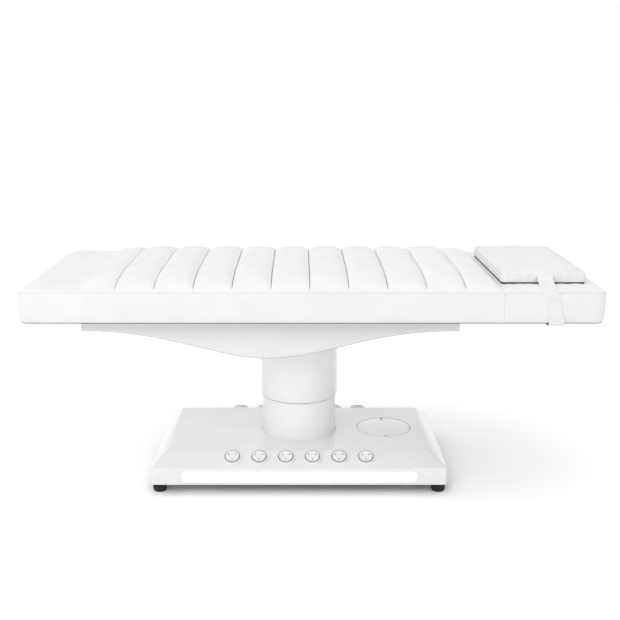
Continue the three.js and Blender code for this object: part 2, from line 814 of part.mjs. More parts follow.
function liftActuator() {
  const half = liftGearboxSize / 2;
  const rodBottom = underHeadPlate - liftRodLength;
  const gearbox = block(-half, half, -half, half, seatOnCarrier, seatOnCarrier + liftGearboxHeight);
  const tube = bar('z', liftTubeRadius, seatOnCarrier, postTop - liftTubeTopInset, 0, 0, roundSides);
  const bore = bar('z', liftRodRadius + runGap, rodBottom - liftDown - liftBoreSpare, postTop,
    0, 0, roundSides);
  return cut(join(gearbox, tube), bore);
}

// Base cover

// The cover's outer skin, from the skirt's lower edge up, with small bevels at its edges
function coverSkin() {
  const level = (length, depth, z) => roundedLevel(length / 2, depth / 2, coverCorner, z);
  const onSlopeAt = (share) => level(
    THREE.MathUtils.lerp(coverLength, coverTopLength, share),
    THREE.MathUtils.lerp(coverDepth, coverTopDepth, share),
    THREE.MathUtils.lerp(skirtTop, coverTop, share));
  return loft([
    level(coverLength, coverDepth, footHeight),
    level(coverLength, coverDepth, skirtTop - coverEdge),
    onSlopeAt(coverEdge / slopeHeight),
    onSlopeAt(1 - coverEdge / slopeHeight),
    level(coverTopLength - coverEdge, coverTopDepth - coverEdge, coverTop),
  ], flattenZ);
}

// The space inside the cover, one wall thickness in from the skirt, the slopes and the top
function coverSpace() {
  const level = (inX, inY, length, depth, z) => roundedLevel(length / 2 - inX, depth / 2 - inY,
    coverCorner - coverWall, z);
  const drawnIn = (run, rise) => coverWall * (Math.hypot(run, rise) - rise) / run;
  const endRun = (coverLength - coverTopLength) / 2;
  const skirtInside = skirtTop - drawnIn(slopeRun, slopeHeight);
  return loft([
    level(coverWall, coverWall, coverLength, coverDepth, footHeight - overrun),
    level(coverWall, coverWall, coverLength, coverDepth, skirtInside),
    level(drawnIn(slopeHeight, endRun), drawnIn(slopeHeight, slopeRun), coverTopLength, coverTopDepth,
      coverTop - coverWall),
  ], flattenZ);
}

const slopeRun = (coverDepth - coverTopDepth) / 2;
const slopeAngle = Math.atan2(slopeHeight, slopeRun);
const buttonY = coverDepth / 2 - buttonSlopeShare * slopeRun;
const buttonZ = skirtTop + buttonSlopeShare * slopeHeight;
const buttonXs = Array.from({ length: buttonCount }, (_, i) => (i - (buttonCount - 1) / 2) * buttonPitch);

// Turns a shape made round the slope's own axes on to the front or the rear slope
function onSlope(geometry, side) {
  geometry.rotateX(slopeAngle).translate(0, -buttonY, buttonZ);
  return side > 0 ? geometry.rotateZ(Math.PI) : geometry;
}

// A long plate or slot with full-round ends, standing in the XZ plane and centred on Y
function roundEndedBar(length, height, thickness) {
  const radius = height / 2;
  const outline = new THREE.Shape();
  outline.absarc(length / 2 - radius, 0, radius, -Math.PI / 2, Math.PI / 2, false);
  outline.absarc(radius - length / 2, 0, radius, Math.PI / 2, Math.PI * 3 / 2, false);
  return new THREE.ExtrudeGeometry(outline, {
    depth: thickness, bevelEnabled: false, curveSegments: smallSides / 2,
  }).translate(0, 0, -thickness / 2).rotateX(Math.PI / 2);
}

function baseCover() {
  const shell = cut(coverSkin(), coverSpace());
  const ledgeTop = coverTop - coverWall + weldSink;
  const ledgeBottom = coverTop - hatchThickness - seatGap - ledgeThickness;
  const ledge = bar('z', hatchRadius + ledgeWidth / 2, ledgeBottom, ledgeTop, hatchX, hatchY, tubeSides);
  const holes = [
    bar('z', lowerTubeRadius + seatGap, coverTop - coverWall - overrun, coverTop + overrun, 0, 0, tubeSides),
    bar('z', hatchRadius - ledgeWidth, ledgeBottom - overrun, coverTop + overrun, hatchX, hatchY, tubeSides),
    bar('z', hatchRadius + seatGap, coverTop - hatchThickness - seatGap, coverTop + overrun,
      hatchX, hatchY, tubeSides),
    roundEndedBar(lightLength + 2 * seatGap, lightHeight + 2 * seatGap, 2 * overrun)
      .translate(0, -coverDepth / 2, lightCentreHeight),
    block(-coverLength / 2 - overrun, -coverLength / 2 + coverWall + overrun,
      inletY - inletBodyWidth / 2 - seatGap, inletY + inletBodyWidth / 2 + seatGap,
      inletCentreHeight - inletBodyHeight / 2 - seatGap, inletCentreHeight + inletBodyHeight / 2 + seatGap),
  ];
  for (const side of [-1, 1]) {
    holes.push(bar('z', screwShankRadius + seatGap, ledgeBottom - overrun, coverTop,
      hatchX, hatchY + side * hatchScrewCircle, smallSides));
    for (const x of buttonXs) {
      holes.push(onSlope(bar('z', collarOuterRadius + seatGap, -coverWall - overrun, overrun,
        x, 0, roundSides), side));
    }
  }
  return cut(join(shell, ledge), ...holes);
}

// Foot button: a cap with a rounded rim on a stem, made round the slope's outer face at z = 0
function footButton() {
  const capBottom = buttonProud - buttonThickness;
  const lean = buttonEdge * (1 - Math.SQRT1_2);
  return turned([
    [0, capBottom - stemLength], [stemRadius, capBottom - stemLength], [stemRadius, capBottom],
    [buttonRadius, capBottom], [buttonRadius, buttonProud - buttonEdge],
    [buttonRadius - lean, buttonProud - lean], [buttonRadius - buttonEdge, buttonProud], [0, buttonProud],
  ], roundSides);
}

// Switch strip: a plate under the slope with a collar round each button and a switch below it
function switchStrip() {
  const top = -coverWall - seatGap;
  const half = (buttonXs.at(-1) - buttonXs[0]) / 2 + stripEndSpare;
  const plate = block(-half, half, -stripWidth / 2, stripWidth / 2, top - stripThickness, top);
  const added = [];
  const bores = [];
  for (const x of buttonXs) {
    const bottom = top - stripThickness - switchDepth;
    added.push(bar('z', collarOuterRadius, top - weldSink, collarProud, x, 0, roundSides));
    added.push(block(x - switchSize / 2, x + switchSize / 2, -switchSize / 2, switchSize / 2,
      bottom, top - stripThickness + weldSink));
    bores.push(bar('z', collarBore, top, collarProud + overrun, x, 0, roundSides));
    bores.push(bar('z', stemRadius + runGap, bottom - overrun, top + overrun, x, 0, smallSides));
  }
  return cut(join(plate, ...added), ...bores);
}

// Rubber foot with its steel stud, from the floor up to the chassis
function levellingFoot() {
  const studTop = frameBottom - seatGap;
  const base = footRadius - footRubberHeight * footShares.bevel;
  return turned([
    [0, 0], [base, 0], [footRadius, footRubberHeight * footShares.widest],
    [footRadius, footRubberHeight * footShares.shoulder],
    [footNeckRadius, footRubberHeight], [footStudRadius, footRubberHeight],
    [footStudRadius, studTop], [0, studTop],
  ], roundSides);
}

function columnCarrier() {
  const reach = 2 * footY - frameTubeWidth - 2 * seatGap;
  const half = carrierPlateSize / 2;
  const plate = block(-half, half, -half, half, frameTop - weldSink, carrierTop);
  const tubes = [-1, 1].map((side) => (
    rectangularTube('y', reach, frameTubeWidth, frameTubeHeight, frameTubeWall)
      .translate(side * carrierSpacing / 2, 0, (frameBottom + frameTop) / 2)
  ));
  return join(plate, ...tubes);
}

function lightDiffuser() {
  const face = roundEndedBar(lightLength, lightHeight, coverWall + weldSink)
    .translate(0, (coverWall + weldSink) / 2, 0);
  const flange = roundEndedBar(lightLength + 2 * lightFlange, lightHeight + 2 * lightFlange,
    lightFlangeThickness).translate(0, coverWall + seatGap + lightFlangeThickness / 2, 0);
  return join(face, flange);
}

function hatchCover() {
  const disc = bar('z', hatchRadius, coverTop - hatchThickness, coverTop, 0, 0, tubeSides);
  const holes = [-1, 1].map((side) => bar('z', screwShankRadius + seatGap,
    coverTop - hatchThickness - overrun, coverTop + overrun, 0, side * hatchScrewCircle, smallSides));
  return cut(disc, ...holes);
}

function hatchScrew() {
  const seat = coverTop + seatGap;
  return turned([
    [0, seat - screwLength], [screwShankRadius, seat - screwLength], [screwShankRadius, seat],
    [screwHeadRadius, seat], [screwHeadRadius, seat + screwHeadHeight / 2],
    [screwHeadRadius / 2, seat + screwHeadHeight], [0, seat + screwHeadHeight],
  ], smallSides);
}

// Mains inlet: flange on the skirt, body behind it and three blades in an open mouth towards +Y
function mainsInlet() {
  const face = inletFlangeThickness + seatGap;
  const centred = (width, height, y0, y1, x, z) => block(x - width / 2, x + width / 2, y0, y1,
    z - height / 2, z + height / 2);
  const flange = centred(inletFlangeWidth, inletFlangeHeight, seatGap, face, 0, 0);
  const body = centred(inletBodyWidth, inletBodyHeight, face - inletBodyDepth, face - weldSink, 0, 0);
  const mouth = centred(inletMouthWidth, inletMouthHeight, face - inletMouthDepth, face + overrun, 0, 0);
  const floor = face - inletMouthDepth;
  const blades = [-1, 0, 1].map((place) => centred(bladeWidth, bladeHeight,
    floor - weldSink, floor + bladeLength, place * bladeSpacing, place === 0 ? bladeLift : -bladeLift));
  return join(cut(join(flange, body), mouth), ...blades);
}

// Assembly

const bed = new THREE.Group();
const pedestal = groupAt(bed, pedestalX, 0, 0);

// Base: chassis, feet and cover
for (const [name, side] of [['front', -1], ['rear', 1]]) {
  const length = coverLength - 2 * coverWall - 2 * frameEndInset;
  const rail = rectangularTube('x', length, frameTubeWidth, frameTubeHeight, frameTubeWall);
  addTo(pedestal, `chassis_rail_${name}`, rail, materials.blackPaint)
    .position.set(0, side * footY, (frameBottom + frameTop) / 2);
}
for (const [name, side] of [['foot', -1], ['head', 1]]) {
  const length = 2 * footY - frameTubeWidth - 2 * seatGap;
  const cross = rectangularTube('y', length, frameTubeWidth, frameTubeHeight, frameTubeWall);
  addTo(pedestal, `chassis_cross_${name}`, cross, materials.blackPaint)
    .position.set(side * chassisCrossX, 0, (frameBottom + frameTop) / 2);
}
addTo(pedestal, 'column_carrier', columnCarrier(), materials.blackPaint);
for (const [nameX, sideX] of [['foot', -1], ['head', 1]]) {
  for (const [nameY, sideY] of [['front', -1], ['rear', 1]]) {
    addTo(pedestal, `levelling_foot_${nameX}_${nameY}`, levellingFoot(), materials.rubber)
      .position.set(sideX * footX, sideY * footY, 0);
  }
}
addTo(pedestal, 'base_cover', baseCover(), materials.gloss);
addTo(pedestal, 'hatch_cover', hatchCover(), materials.gloss).position.set(hatchX, hatchY, 0);
for (const [name, side] of [['front', -1], ['rear', 1]]) {
  addTo(pedestal, `hatch_screw_${name}`, hatchScrew(), materials.steel)
    .position.set(hatchX, hatchY + side * hatchScrewCircle, 0);
}
addTo(pedestal, 'control_box', roundedBox(controlBoxLength, controlBoxDepth, controlBoxCorner,
  frameTop + seatGap, frameTop + seatGap + controlBoxHeight), materials.darkPlastic)
  .position.set(chassisCrossX, 0, 0);
const inlet = addTo(pedestal, 'mains_inlet', mainsInlet(), materials.darkPlastic);
inlet.position.set(-coverLength / 2, inletY, inletCentreHeight);
inlet.rotation.z = Math.PI / 2;
addTo(pedestal, 'light_diffuser', lightDiffuser(), materials.light)
  .position.set(0, -coverDepth / 2, lightCentreHeight);
addTo(pedestal, 'light_carrier', roundEndedBar(lightLength - 2 * ledCarrierInset, ledCarrierHeight,
  ledCarrierThickness), materials.aluminium)
  .position.set(0, -coverDepth / 2 + coverWall + lightFlangeThickness + 2 * seatGap + ledCarrierThickness / 2,
    lightCentreHeight);

// Switch strips and buttons, alike on the front and the rear slope
for (const [name, side] of [['front', -1], ['rear', 1]]) {
  const turn = groupAt(pedestal, 0, 0, 0);
  turn.rotation.z = side > 0 ? Math.PI : 0;
  const slope = groupAt(turn, 0, -buttonY, buttonZ);
  slope.rotation.x = slopeAngle;
  addTo(slope, `switch_strip_${name}`, switchStrip(), materials.gloss);
  buttonXs.forEach((x, i) => {
    addTo(slope, `foot_button_${name}_${i + 1}`, footButton(), materials.button).position.set(x, 0, 0);
  });
}

// Lift column, fixed part
addTo(pedestal, 'column_lower_tube',
  ring(lowerTubeRadius, lowerTubeRadius - lowerTubeWall, seatOnCarrier, lowerTubeTop, tubeSides),
  materials.paintedTube);
addTo(pedestal, 'column_collar',
  ring(lowerTubeRadius + seatGap + collarWidth, lowerTubeRadius + seatGap, coverTop + seatGap,
    coverTop + seatGap + collarHeight, tubeSides), materials.paintedTube);
addTo(pedestal, 'guide_post_fixed', squareTube(fixedPostSize, postWall, seatOnCarrier, postTop),
  materials.steel);
addTo(pedestal, 'guide_glide', squareTube(slidingPostSize - 2 * postWall - 2 * runGap,
  (slidingPostSize - 2 * postWall - 2 * runGap - fixedPostSize) / 2 - seatGap,
  postTop - glideHeight, postTop), materials.darkPlastic);
addTo(pedestal, 'lift_actuator_body', liftActuator(), materials.darkPlastic);

// Lift column, moving part
addTo(pedestal, 'column_upper_tube',
  ring(upperTubeRadius, upperTubeRadius - upperTubeWall, coverTop + columnShowing, underHeadPlate, tubeSides),
  materials.paintedTube);
addTo(pedestal, 'guide_post_sliding',
  squareTube(slidingPostSize, postWall, slidingPostBottom, underHeadPlate), materials.steel);
addTo(pedestal, 'lift_actuator_rod',
  bar('z', liftRodRadius, underHeadPlate - liftRodLength, underHeadPlate, 0, 0, roundSides), materials.steel);
addTo(pedestal, 'column_head', columnHead(), materials.blackPaint);

// Tilting frame with its shell and actuator
for (const [name, side] of [['front', -1], ['rear', 1]]) {
  addTo(bed, `top_rail_${name}`, topRail(), materials.blackPaint).position.set(0, side * railSpacing / 2, 0);
}
addTo(bed, 'top_cross_foot', topCross(), materials.blackPaint)
  .position.set(shellFootEnd + footCrossInset, 0, crossHeight);
addTo(bed, 'top_cross_head', topCross(), materials.blackPaint)
  .position.set(shellHeadEnd - headCrossInset, 0, crossHeight);
addTo(bed, 'top_cross_actuator', actuatorCross(), materials.blackPaint)
  .position.set(rearPin.x, 0, crossHeight);
addTo(bed, 'tilt_shaft', bar('y', tiltShaftRadius, -tiltShaftLength / 2, tiltShaftLength / 2,
  pedestalX, tiltHeight, roundSides), materials.steel);
addTo(bed, 'underside_shell', undersideShell(), materials.gloss);
const actuator = groupAt(bed, rearPin.x, actuatorY, rearPin.z);
actuator.rotation.y = slopeRadians;
addTo(actuator, 'tilt_actuator_body', actuatorBody(), materials.darkPlastic);
addTo(actuator, 'tilt_actuator_rod', actuatorRod(), materials.steel);

// Padding and boards of the main part
const mainBoardEnd = seamX - boardInset;
addTo(bed, 'main_board', board(footEndX + boardInset, mainBoardEnd, -1), materials.wood);
addTo(bed, 'main_padding', cut(mattressBody(), boardRecess(footEndX + boardInset, mainBoardEnd, -1),
  hingeSlot(1, -1), hingeSlot(-1, -1)), materials.upholstery);

// Head section
const headBoardStart = seamX + boardInset;
addTo(bed, 'head_board', board(headBoardStart, headEndX - boardInset, 1), materials.wood);
addTo(bed, 'head_padding', cut(headPadBody(), boardRecess(headBoardStart, headEndX - boardInset, 1),
  hingeSlot(1, 1), hingeSlot(-1, 1)), materials.upholstery);
const footTop = undersideHeight - seatGap - hingeHeight;
for (const [name, side] of [['front', -1], ['rear', 1]]) {
  const inner = hingeSpacing / 2 + hingeArmThickness / 2;
  const outer = inner + hingeArmThickness + seatGap;
  const fixedArm = fixedHingeArm(footTop);
  addTo(bed, `hinge_arm_fixed_${name}`, side > 0 ? fixedArm : mirrored(fixedArm), materials.steel)
    .position.set(seamX, side * inner, hingeHeight);
  addTo(bed, `hinge_arm_moving_${name}`, movingHingeArm(footTop), materials.steel)
    .position.set(seamX, side * outer, hingeHeight);
}

const padTop = seamHeight + flatRise + seatGap;
addTo(bed, 'pillow', pillow(), materials.upholstery)
  .position.set(seamX + pillowFromSeam + pillowLength / 2, pillowShiftY, padTop);
addTo(bed, 'pillow_strap', strap(padTop + pillowThickness), materials.upholstery)
  .position.set(seamX + strapFromSeam, 0, 0);

export default bed;
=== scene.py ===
"""Electric beauty bed: a padded top with sewn cross channels and a lifting head section,
a pillow held by a strap, a wave-shaped shell, a round lift column and a low glossy base
with foot buttons and a light strip. Sizes are in millimetres until they reach Blender."""

import math

import bmesh
import bpy
import numpy as np
from mathutils import Matrix, Vector


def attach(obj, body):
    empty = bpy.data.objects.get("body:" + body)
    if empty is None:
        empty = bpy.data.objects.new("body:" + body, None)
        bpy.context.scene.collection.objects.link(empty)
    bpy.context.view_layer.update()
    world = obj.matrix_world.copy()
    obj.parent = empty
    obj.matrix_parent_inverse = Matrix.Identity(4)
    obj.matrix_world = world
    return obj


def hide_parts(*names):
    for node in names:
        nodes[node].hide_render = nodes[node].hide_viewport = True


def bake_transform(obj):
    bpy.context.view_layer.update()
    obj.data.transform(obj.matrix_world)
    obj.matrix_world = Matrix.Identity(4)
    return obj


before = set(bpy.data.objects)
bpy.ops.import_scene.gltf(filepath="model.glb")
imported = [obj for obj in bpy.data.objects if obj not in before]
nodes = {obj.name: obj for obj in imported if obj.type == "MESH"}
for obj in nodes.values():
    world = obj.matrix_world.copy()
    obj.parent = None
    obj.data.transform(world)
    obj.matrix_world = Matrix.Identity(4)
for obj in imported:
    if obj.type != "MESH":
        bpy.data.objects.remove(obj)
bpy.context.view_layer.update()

MM = 0.001

# Padded top
TOP_END = 982
TOP_HALF = 385
UNDERSIDE = 647
SEAM_LEVEL = 758
CORNER = 36
FLAT_RISE = 10
VALLEY_RISE = 33
CROWN_RISE = 15
CLOTH_SPARE = 2
SEAM_RISE = 4
HEAD_RISE = 7
FOOT_DIP = 8
HEAD_DIP = 5
DIP_LENGTH = 38
FLAT_SHOULDER = 80
BASE_SHOULDER = 240
ROLL_SHOULDER = 130
END_SHOULDER = 70
SLIT_DEPTH = 9
SLIT_START = 8
CLOTH_AND_SHADE_RISE = 3.4
CLOTH_FRAMES = 20
STITCH_PITCH = 8
STITCH_DROP = 7.4

# The seam between the two sections, and the channels in front of it
SEAM_X = 641
SEAM_GAP = 0.15
SEAM_ROUNDING = 2.4
GROOVE = 5.6
HINGE_LEVEL = 746
CHANNELS = 11
FIRST_CHANNEL = -782
PITCH = (SEAM_X - FIRST_CHANNEL) / CHANNELS

# What the padding leaves room for
BOARD_INSET = 8
BOARD_THICK = 18
BOARD_GAP = 0.3
HINGE_REACH = 37
HINGE_SLOT = (297, 315.3)
HINGE_TOP = 755.3

# Pillow and strap
PILLOW_X = (646, 931)
PILLOW_Y = (-288, 243)
PILLOW_Z = (762.7, 808.3)
PILLOW_CORNER = 12
PILLOW_SHADOW_BAND = 6.3
STRAP_X = 802
STRAP_WIDTH = 52
STRAP_THICK = 2.0
STRAP_SHADOW_EDGE = 2.2

# Pedestal: a tube is its radius, its wall and the heights of its ends
PEDESTAL_X = -42
LOWER_TUBE = (138.7, 4, 80.3, 445)
UPPER_TUBE = (144, 3, 285, 559.7)
RING = (142.4, 3.4, 138.8, 141.8)
SHADE_WIPER = (143.5, 2.4, 283.7, 284.9)
TUBE_HOLE = 139
COVER_HALF_LENGTH = 528
COVER_HALF_DEPTH = 301.5
COVER_TOP_LENGTH = 946
COVER_TOP_DEPTH = 459
COVER_BOTTOM = 35
SKIRT_TOP = 96
COVER_TOP = 138.5
COVER_WALL = 3.5
COVER_CORNER = 9
COVER_EDGE = 2.4
INLET_Y = (105.7, 134.3)
INLET_Z = (55.2, 76.8)
HATCH_X, HATCH_Y = 283, 6
HATCH_RADIUS = 101.5
HATCH_THICK = 3
HATCH_SCREW_Y = 94
LIGHT_LENGTH = 836.5
LIGHT_HEIGHT = 38
LIGHT_Z = 64.5
FEET = [(x, y) for x in (-543, 459) for y in (-264.5, 264.5)]

# Foot buttons: the share is how far up the slope they sit
BUTTON_PITCH = 95.5
BUTTON_SHARE = 0.58
STRIP_HALF = (284.75, 30)
SWITCH_HALF = 15
BEZEL_RADIUS = 32.5
BEZEL_BORE = 27
BEZEL_PROUD = 8
SHAFT_RADIUS = 6
SHAFT_BORE = 6.4
CAP_RADIUS = 25.4
CAP_PROUD = 11.5
DOT_CIRCLE = 14.5
SLOPE_RUN = COVER_HALF_DEPTH - COVER_TOP_DEPTH / 2
SLOPE_RISE = COVER_TOP - SKIRT_TOP
SLOPE_ANGLE = math.atan2(SLOPE_RISE, SLOPE_RUN)
BUTTON_Y = COVER_HALF_DEPTH - BUTTON_SHARE * SLOPE_RUN
BUTTON_Z = SKIRT_TOP + BUTTON_SHARE * SLOPE_RISE

# Wave-shaped shell
SHELL_X = (-791, 510)
SHELL_HALF = 290
SHELL_WALL = 4
SHELL_TOP = 646.7
SHELL_END = 595
SHELL_LOW = (-165, 497)
SHELL_BEVEL = 12
OPENING_REACH = 19.5
OPENING_RADIUS = 150


# Colours and materials

NOISE, CELLS, WAVES = "ShaderNodeTexNoise", "ShaderNodeTexVoronoi", "ShaderNodeTexWave"


def colour(code):
    """A hex sRGB colour as the linear numbers that the shaders take."""
    parts = [int(code[i:i + 2], 16) / 255 for i in (1, 3, 5)]
    return [p / 12.92 if p <= 0.04045 else ((p + 0.055) / 1.055) ** 2.4 for p in parts] + [1.0]


def new_material(name):
    material = bpy.data.materials.new(name)
    material.use_nodes = True
    material.node_tree.nodes.clear()
    return material


def add(material, kind, inputs=None, **settings):
    """Adds a node; an input is a value, or another node's output that is linked to it."""
    node = material.node_tree.nodes.new(kind)
    for key, value in settings.items():
        setattr(node, key, value)
    for key, value in (inputs or {}).items():
        if isinstance(value, bpy.types.NodeSocket):
            material.node_tree.links.new(value, node.inputs[key])
        else:
            node.inputs[key].default_value = value
    return node


def shades(material, factor, dark, light, low=0.3, high=0.7):
    """A colour that runs from one hex value to another as the factor goes from low to high."""
    ramp = add(material, "ShaderNodeValToRGB", {"Fac": factor})
    for stop, position, code in zip(ramp.color_ramp.elements, (low, high), (dark, light)):
        stop.position = position
        stop.color = colour(code)
    return ramp.outputs["Color"]


def textured(name, colours, broad, fine, rough, relief=None, drape=None, even=False, glow=None,
             **sockets):
    """A material from two patterns, each a texture's kind, its repeat in mm and its details.
    The broad one runs between the two colours (or colours makes a colour from both), and the
    roughness runs with the fine one, or with the broad one when it is even. relief and drape are
    the fine and the broad bump's strength and height in mm. The rest are the shader's sockets."""
    material = new_material(name)
    at = add(material, "ShaderNodeTexCoord").outputs["Object"]
    factors = []
    for kind, repeat, details in (broad, fine):
        inputs = {"Vector": at, "Scale": 1000 / repeat, **details}
        settings = {key: inputs.pop(key) for key in details if key.islower()}
        if "stretch" in settings:
            inputs["Vector"] = add(material, "ShaderNodeMapping", {
                "Vector": at, "Scale": settings.pop("stretch")}).outputs["Vector"]
        texture = add(material, kind, inputs, **settings)
        factors.append(texture.outputs["Distance" if kind == CELLS else "Fac"])
    given = {
        "Base Color": (colours(material, *factors) if callable(colours)
                       else shades(material, factors[0], *colours)),
        "Roughness": add(material, "ShaderNodeMapRange", {
            "Value": factors[0 if even else 1], "To Min": rough[0], "To Max": rough[1]}).outputs["Result"]}
    for factor, bump in zip(factors, (drape, relief)):
        if bump:
            under = {"Normal": given["Normal"]} if "Normal" in given else {}
            given["Normal"] = add(material, "ShaderNodeBump", {
                "Height": factor, "Strength": bump[0], "Distance": bump[1] * MM, **under}).outputs["Normal"]
    if glow:
        given["Emission Color"] = shades(material, factors[0], *glow, 0.0, 1.0)
    given.update({key.replace("_", " "): value for key, value in sockets.items()})
    shader = add(material, "ShaderNodeBsdfPrincipled", given)
    add(material, "ShaderNodeOutputMaterial", {"Surface": shader.outputs["BSDF"]})
    return material


def coated_vinyl(name, dark, light, rough):
    """Upholstery vinyl: a pressed leather grain under a thin satin coat, with slight creasing."""
    return textured(
        name, (dark, light), (NOISE, 70, {"Detail": 3.0, "Roughness": 0.5}), (CELLS, 1.4, {}),
        (rough - 0.05, rough + 0.08), relief=(0.15, 0.2), drape=(0.1, 1.0),
        Coat_Weight=0.12, Coat_Roughness=0.35, IOR=1.46)


def gloss_paint(name, dark, light, rough, peel, coat):
    """Sprayed two-pack gloss: a hard shine with a faint orange-peel ripple."""
    return textured(
        name, (dark, light), (NOISE, 160, {"Detail": 3.0}), (NOISE, 7, {"Detail": 1.0}),
        (rough * 0.85, rough * 1.2), relief=(peel, 0.4), even=True,
        Coat_Weight=coat, Coat_Roughness=0.04, IOR=1.5)


def moulded_plastic(name, dark, light, rough, grain=1.1, depth=0.15):
    """Injection-moulded plastic with the fine spark texture of its tool."""
    return textured(
        name, (dark, light), (NOISE, 60, {"Detail": 2.0}), (NOISE, grain, {"Detail": 2.0}),
        (rough - 0.06, rough + 0.08), relief=(depth, 0.1), IOR=1.49)


def brushed_steel(name, dark, light, rough):
    """Drawn or brushed metal: fine lines along the piece and a cool grey tone."""
    return textured(
        name, (dark, light), (NOISE, 40, {"Detail": 3.0}),
        (NOISE, 1.2, {"Detail": 3.0, "stretch": (1.0, 1.0, 0.03)}),
        (rough - 0.08, rough + 0.12), relief=(0.12, 0.05), Metallic=1.0)


def woven_strap(name, dark, light):
    """Vinyl-faced webbing: the same white cover with a fine weave showing through.
    A wave texture takes twice its bands' real repeat, here and below."""
    return textured(
        name, (dark, light), (NOISE, 22, {"Detail": 3.0}),
        (WAVES, 3.2, {"Distortion": 0.3, "bands_direction": "X"}),
        (0.42, 0.58), relief=(0.15, 0.12), drape=(0.4, 0.8), IOR=1.46)


def spunbond_cloth(name, dark, light):
    """Spunbond cloth under the bed and the pillow: matt, with the dimples of its bonding. Its grey on
    the padding's rolled edge and its black band round the pillow's foot are painted shade.
    """
    return textured(
        name, (dark, light), (NOISE, 30, {"Detail": 3.0}), (CELLS, 1.8, {}), (0.8, 0.95),
        relief=(0.4, 0.15), IOR=1.45)


def plywood_tone(material, growth, plies):
    """Pale growth bands, glue lines along the edges, and cloth on the face that looks down."""
    tone = add(material, "ShaderNodeMix", {
        "Factor": 0.35, 6: shades(material, growth, "#C9B79C", "#DDCFB8"),
        7: shades(material, plies, "#8F7A5E", "#D6C8B0", 0.1, 0.6)}, data_type="RGBA")
    facing = add(material, "ShaderNodeSeparateXYZ", {
        "Vector": add(material, "ShaderNodeNewGeometry").outputs["Normal"]})
    looks_down = add(material, "ShaderNodeMath", {0: facing.outputs["Z"], 1: -0.5}, operation="LESS_THAN")
    return add(material, "ShaderNodeMix", {
        "Factor": looks_down.outputs[0], 6: tone.outputs[2],
        7: shades(material, growth, "#5C5D60", "#6E6F72")}, data_type="RGBA").outputs[2]


vinyl = coated_vinyl("white_upholstery_vinyl", "#F3F2F1", "#F8F7F6", 0.42)
pillow_vinyl = coated_vinyl("white_pillow_vinyl", "#F0EFEE", "#F6F5F4", 0.46)
# Painted shade: a darker grey vinyl for the faces deep inside the channel seams
seam_shade_vinyl = coated_vinyl("painted_seam_shade_vinyl", "#ACABAA", "#B8B7B6", 0.6)
cover_gloss = gloss_paint("white_gloss_cover", "#F4F4F4", "#F8F8F8", 0.1, 0.05, 0.8)
shell_gloss = gloss_paint("white_gloss_shell", "#F3F3F3", "#F7F7F7", 0.2, 0.06, 0.5)
tube_paint = gloss_paint("white_column_enamel", "#F8F8F8", "#FBFBFB", 0.2, 0.04, 0.45)
button_white = moulded_plastic("white_button_abs", "#F8F8F8", "#FCFCFC", 0.24, 1.0, 0.05)
dark_moulded = moulded_plastic("dark_moulded_nylon", "#232426", "#303134", 0.5)
gasket_rubber = moulded_plastic("grey_gasket_rubber", "#6A6A6C", "#757577", 0.6)
# A darker grey that paints the shade on the shell's lower bevels
shell_edge_shade = moulded_plastic("pale_grey_shell_edge_shade", "#B9B9BA", "#C4C4C5", 0.55)
steel = brushed_steel("zinc_plated_steel", "#9A9CA0", "#BFC1C4", 0.34)
carrier_metal = brushed_steel("extruded_aluminium", "#B6B8BA", "#CFD1D3", 0.3)
strap_cover = woven_strap("white_strap_webbing", "#EFEEED", "#F8F7F6")
# Grey webbing that paints a shadow along the strap's right edge
strap_shadow_edge = woven_strap("grey_strap_shadow_edge", "#7E7E7F", "#8C8C8D")
# Grey cloth under the padding, which also paints the shade along the rolled lower edge
under_cloth_and_edge_shade = spunbond_cloth("grey_spunbond_cloth_and_edge_shade", "#5C5D60", "#6E6F72")
# A black band round the pillow's foot that paints its shadow
painted_pillow_shadow = spunbond_cloth("black_painted_pillow_shadow", "#0A0A0B", "#121214")
# Black powder coat on steel: a fine pebbled skin with a low shine
frame_black = textured(
    "black_powder_coat", ("#1B1B1D", "#26262A"), (NOISE, 90, {"Detail": 4.0}),
    (NOISE, 1.6, {"Detail": 3.0}), (0.42, 0.6), relief=(0.3, 0.15), even=True, IOR=1.5)
# Birch plywood: plies 3.2 mm thick, sanded, with a long soft grain
plywood = textured(
    "birch_plywood", plywood_tone,
    (NOISE, 14, {"Detail": 5.0, "Distortion": 0.6, "stretch": (0.06, 1.0, 1.0)}),
    (WAVES, 6.4, {"Distortion": 0.6, "Detail": 2.0, "Detail Scale": 6.0, "bands_direction": "Z"}),
    (0.6, 0.85), drape=(0.2, 0.2), even=True, IOR=1.45)
# Moulded foot rubber, matt with a dusty bloom
foot_rubber = textured(
    "black_foot_rubber", ("#060607", "#101012"), (NOISE, 9, {"Detail": 5.0}),
    (NOISE, 0.9, {"Detail": 2.0}), (0.5, 0.75), relief=(0.25, 0.12), even=True, IOR=1.52)
# Opal acrylic over a row of white lamps: an even glow, a little brighter over each lamp
lamps = (WAVES, 66.6, {"Distortion": 0.0, "bands_direction": "X"})
opal = textured(
    "opal_light_acrylic", ("#F4F5F6", "#FBFBFB"), lamps, lamps, (0.3, 0.36),
    glow=("#F2F4F6", "#FFFFFF"), Emission_Strength=0.45, IOR=1.49)
# Bonded polyester thread, white with a soft shine and a visible twist
twist = (WAVES, 1.8, {"Distortion": 1.0, "bands_direction": "DIAGONAL"})
thread = textured(
    "white_sewing_thread", ("#D9D8D6", "#F0EFED"), twist, twist, (0.5, 0.65), relief=(0.3, 0.1), IOR=1.5)


# Modelling helpers

def clear_selection():
    if bpy.context.mode != "OBJECT":
        bpy.ops.object.mode_set(mode="OBJECT")
    bpy.ops.object.select_all(action="DESELECT")


def work_on(piece):
    clear_selection()
    piece.select_set(True)
    bpy.context.view_layer.objects.active = piece


def started(name):
    """The primitive that was just added, named, with its place in its mesh."""
    piece = bpy.context.active_object
    piece.name = piece.data.name = name
    bpy.ops.object.transform_apply(location=True, rotation=True, scale=True)
    return piece


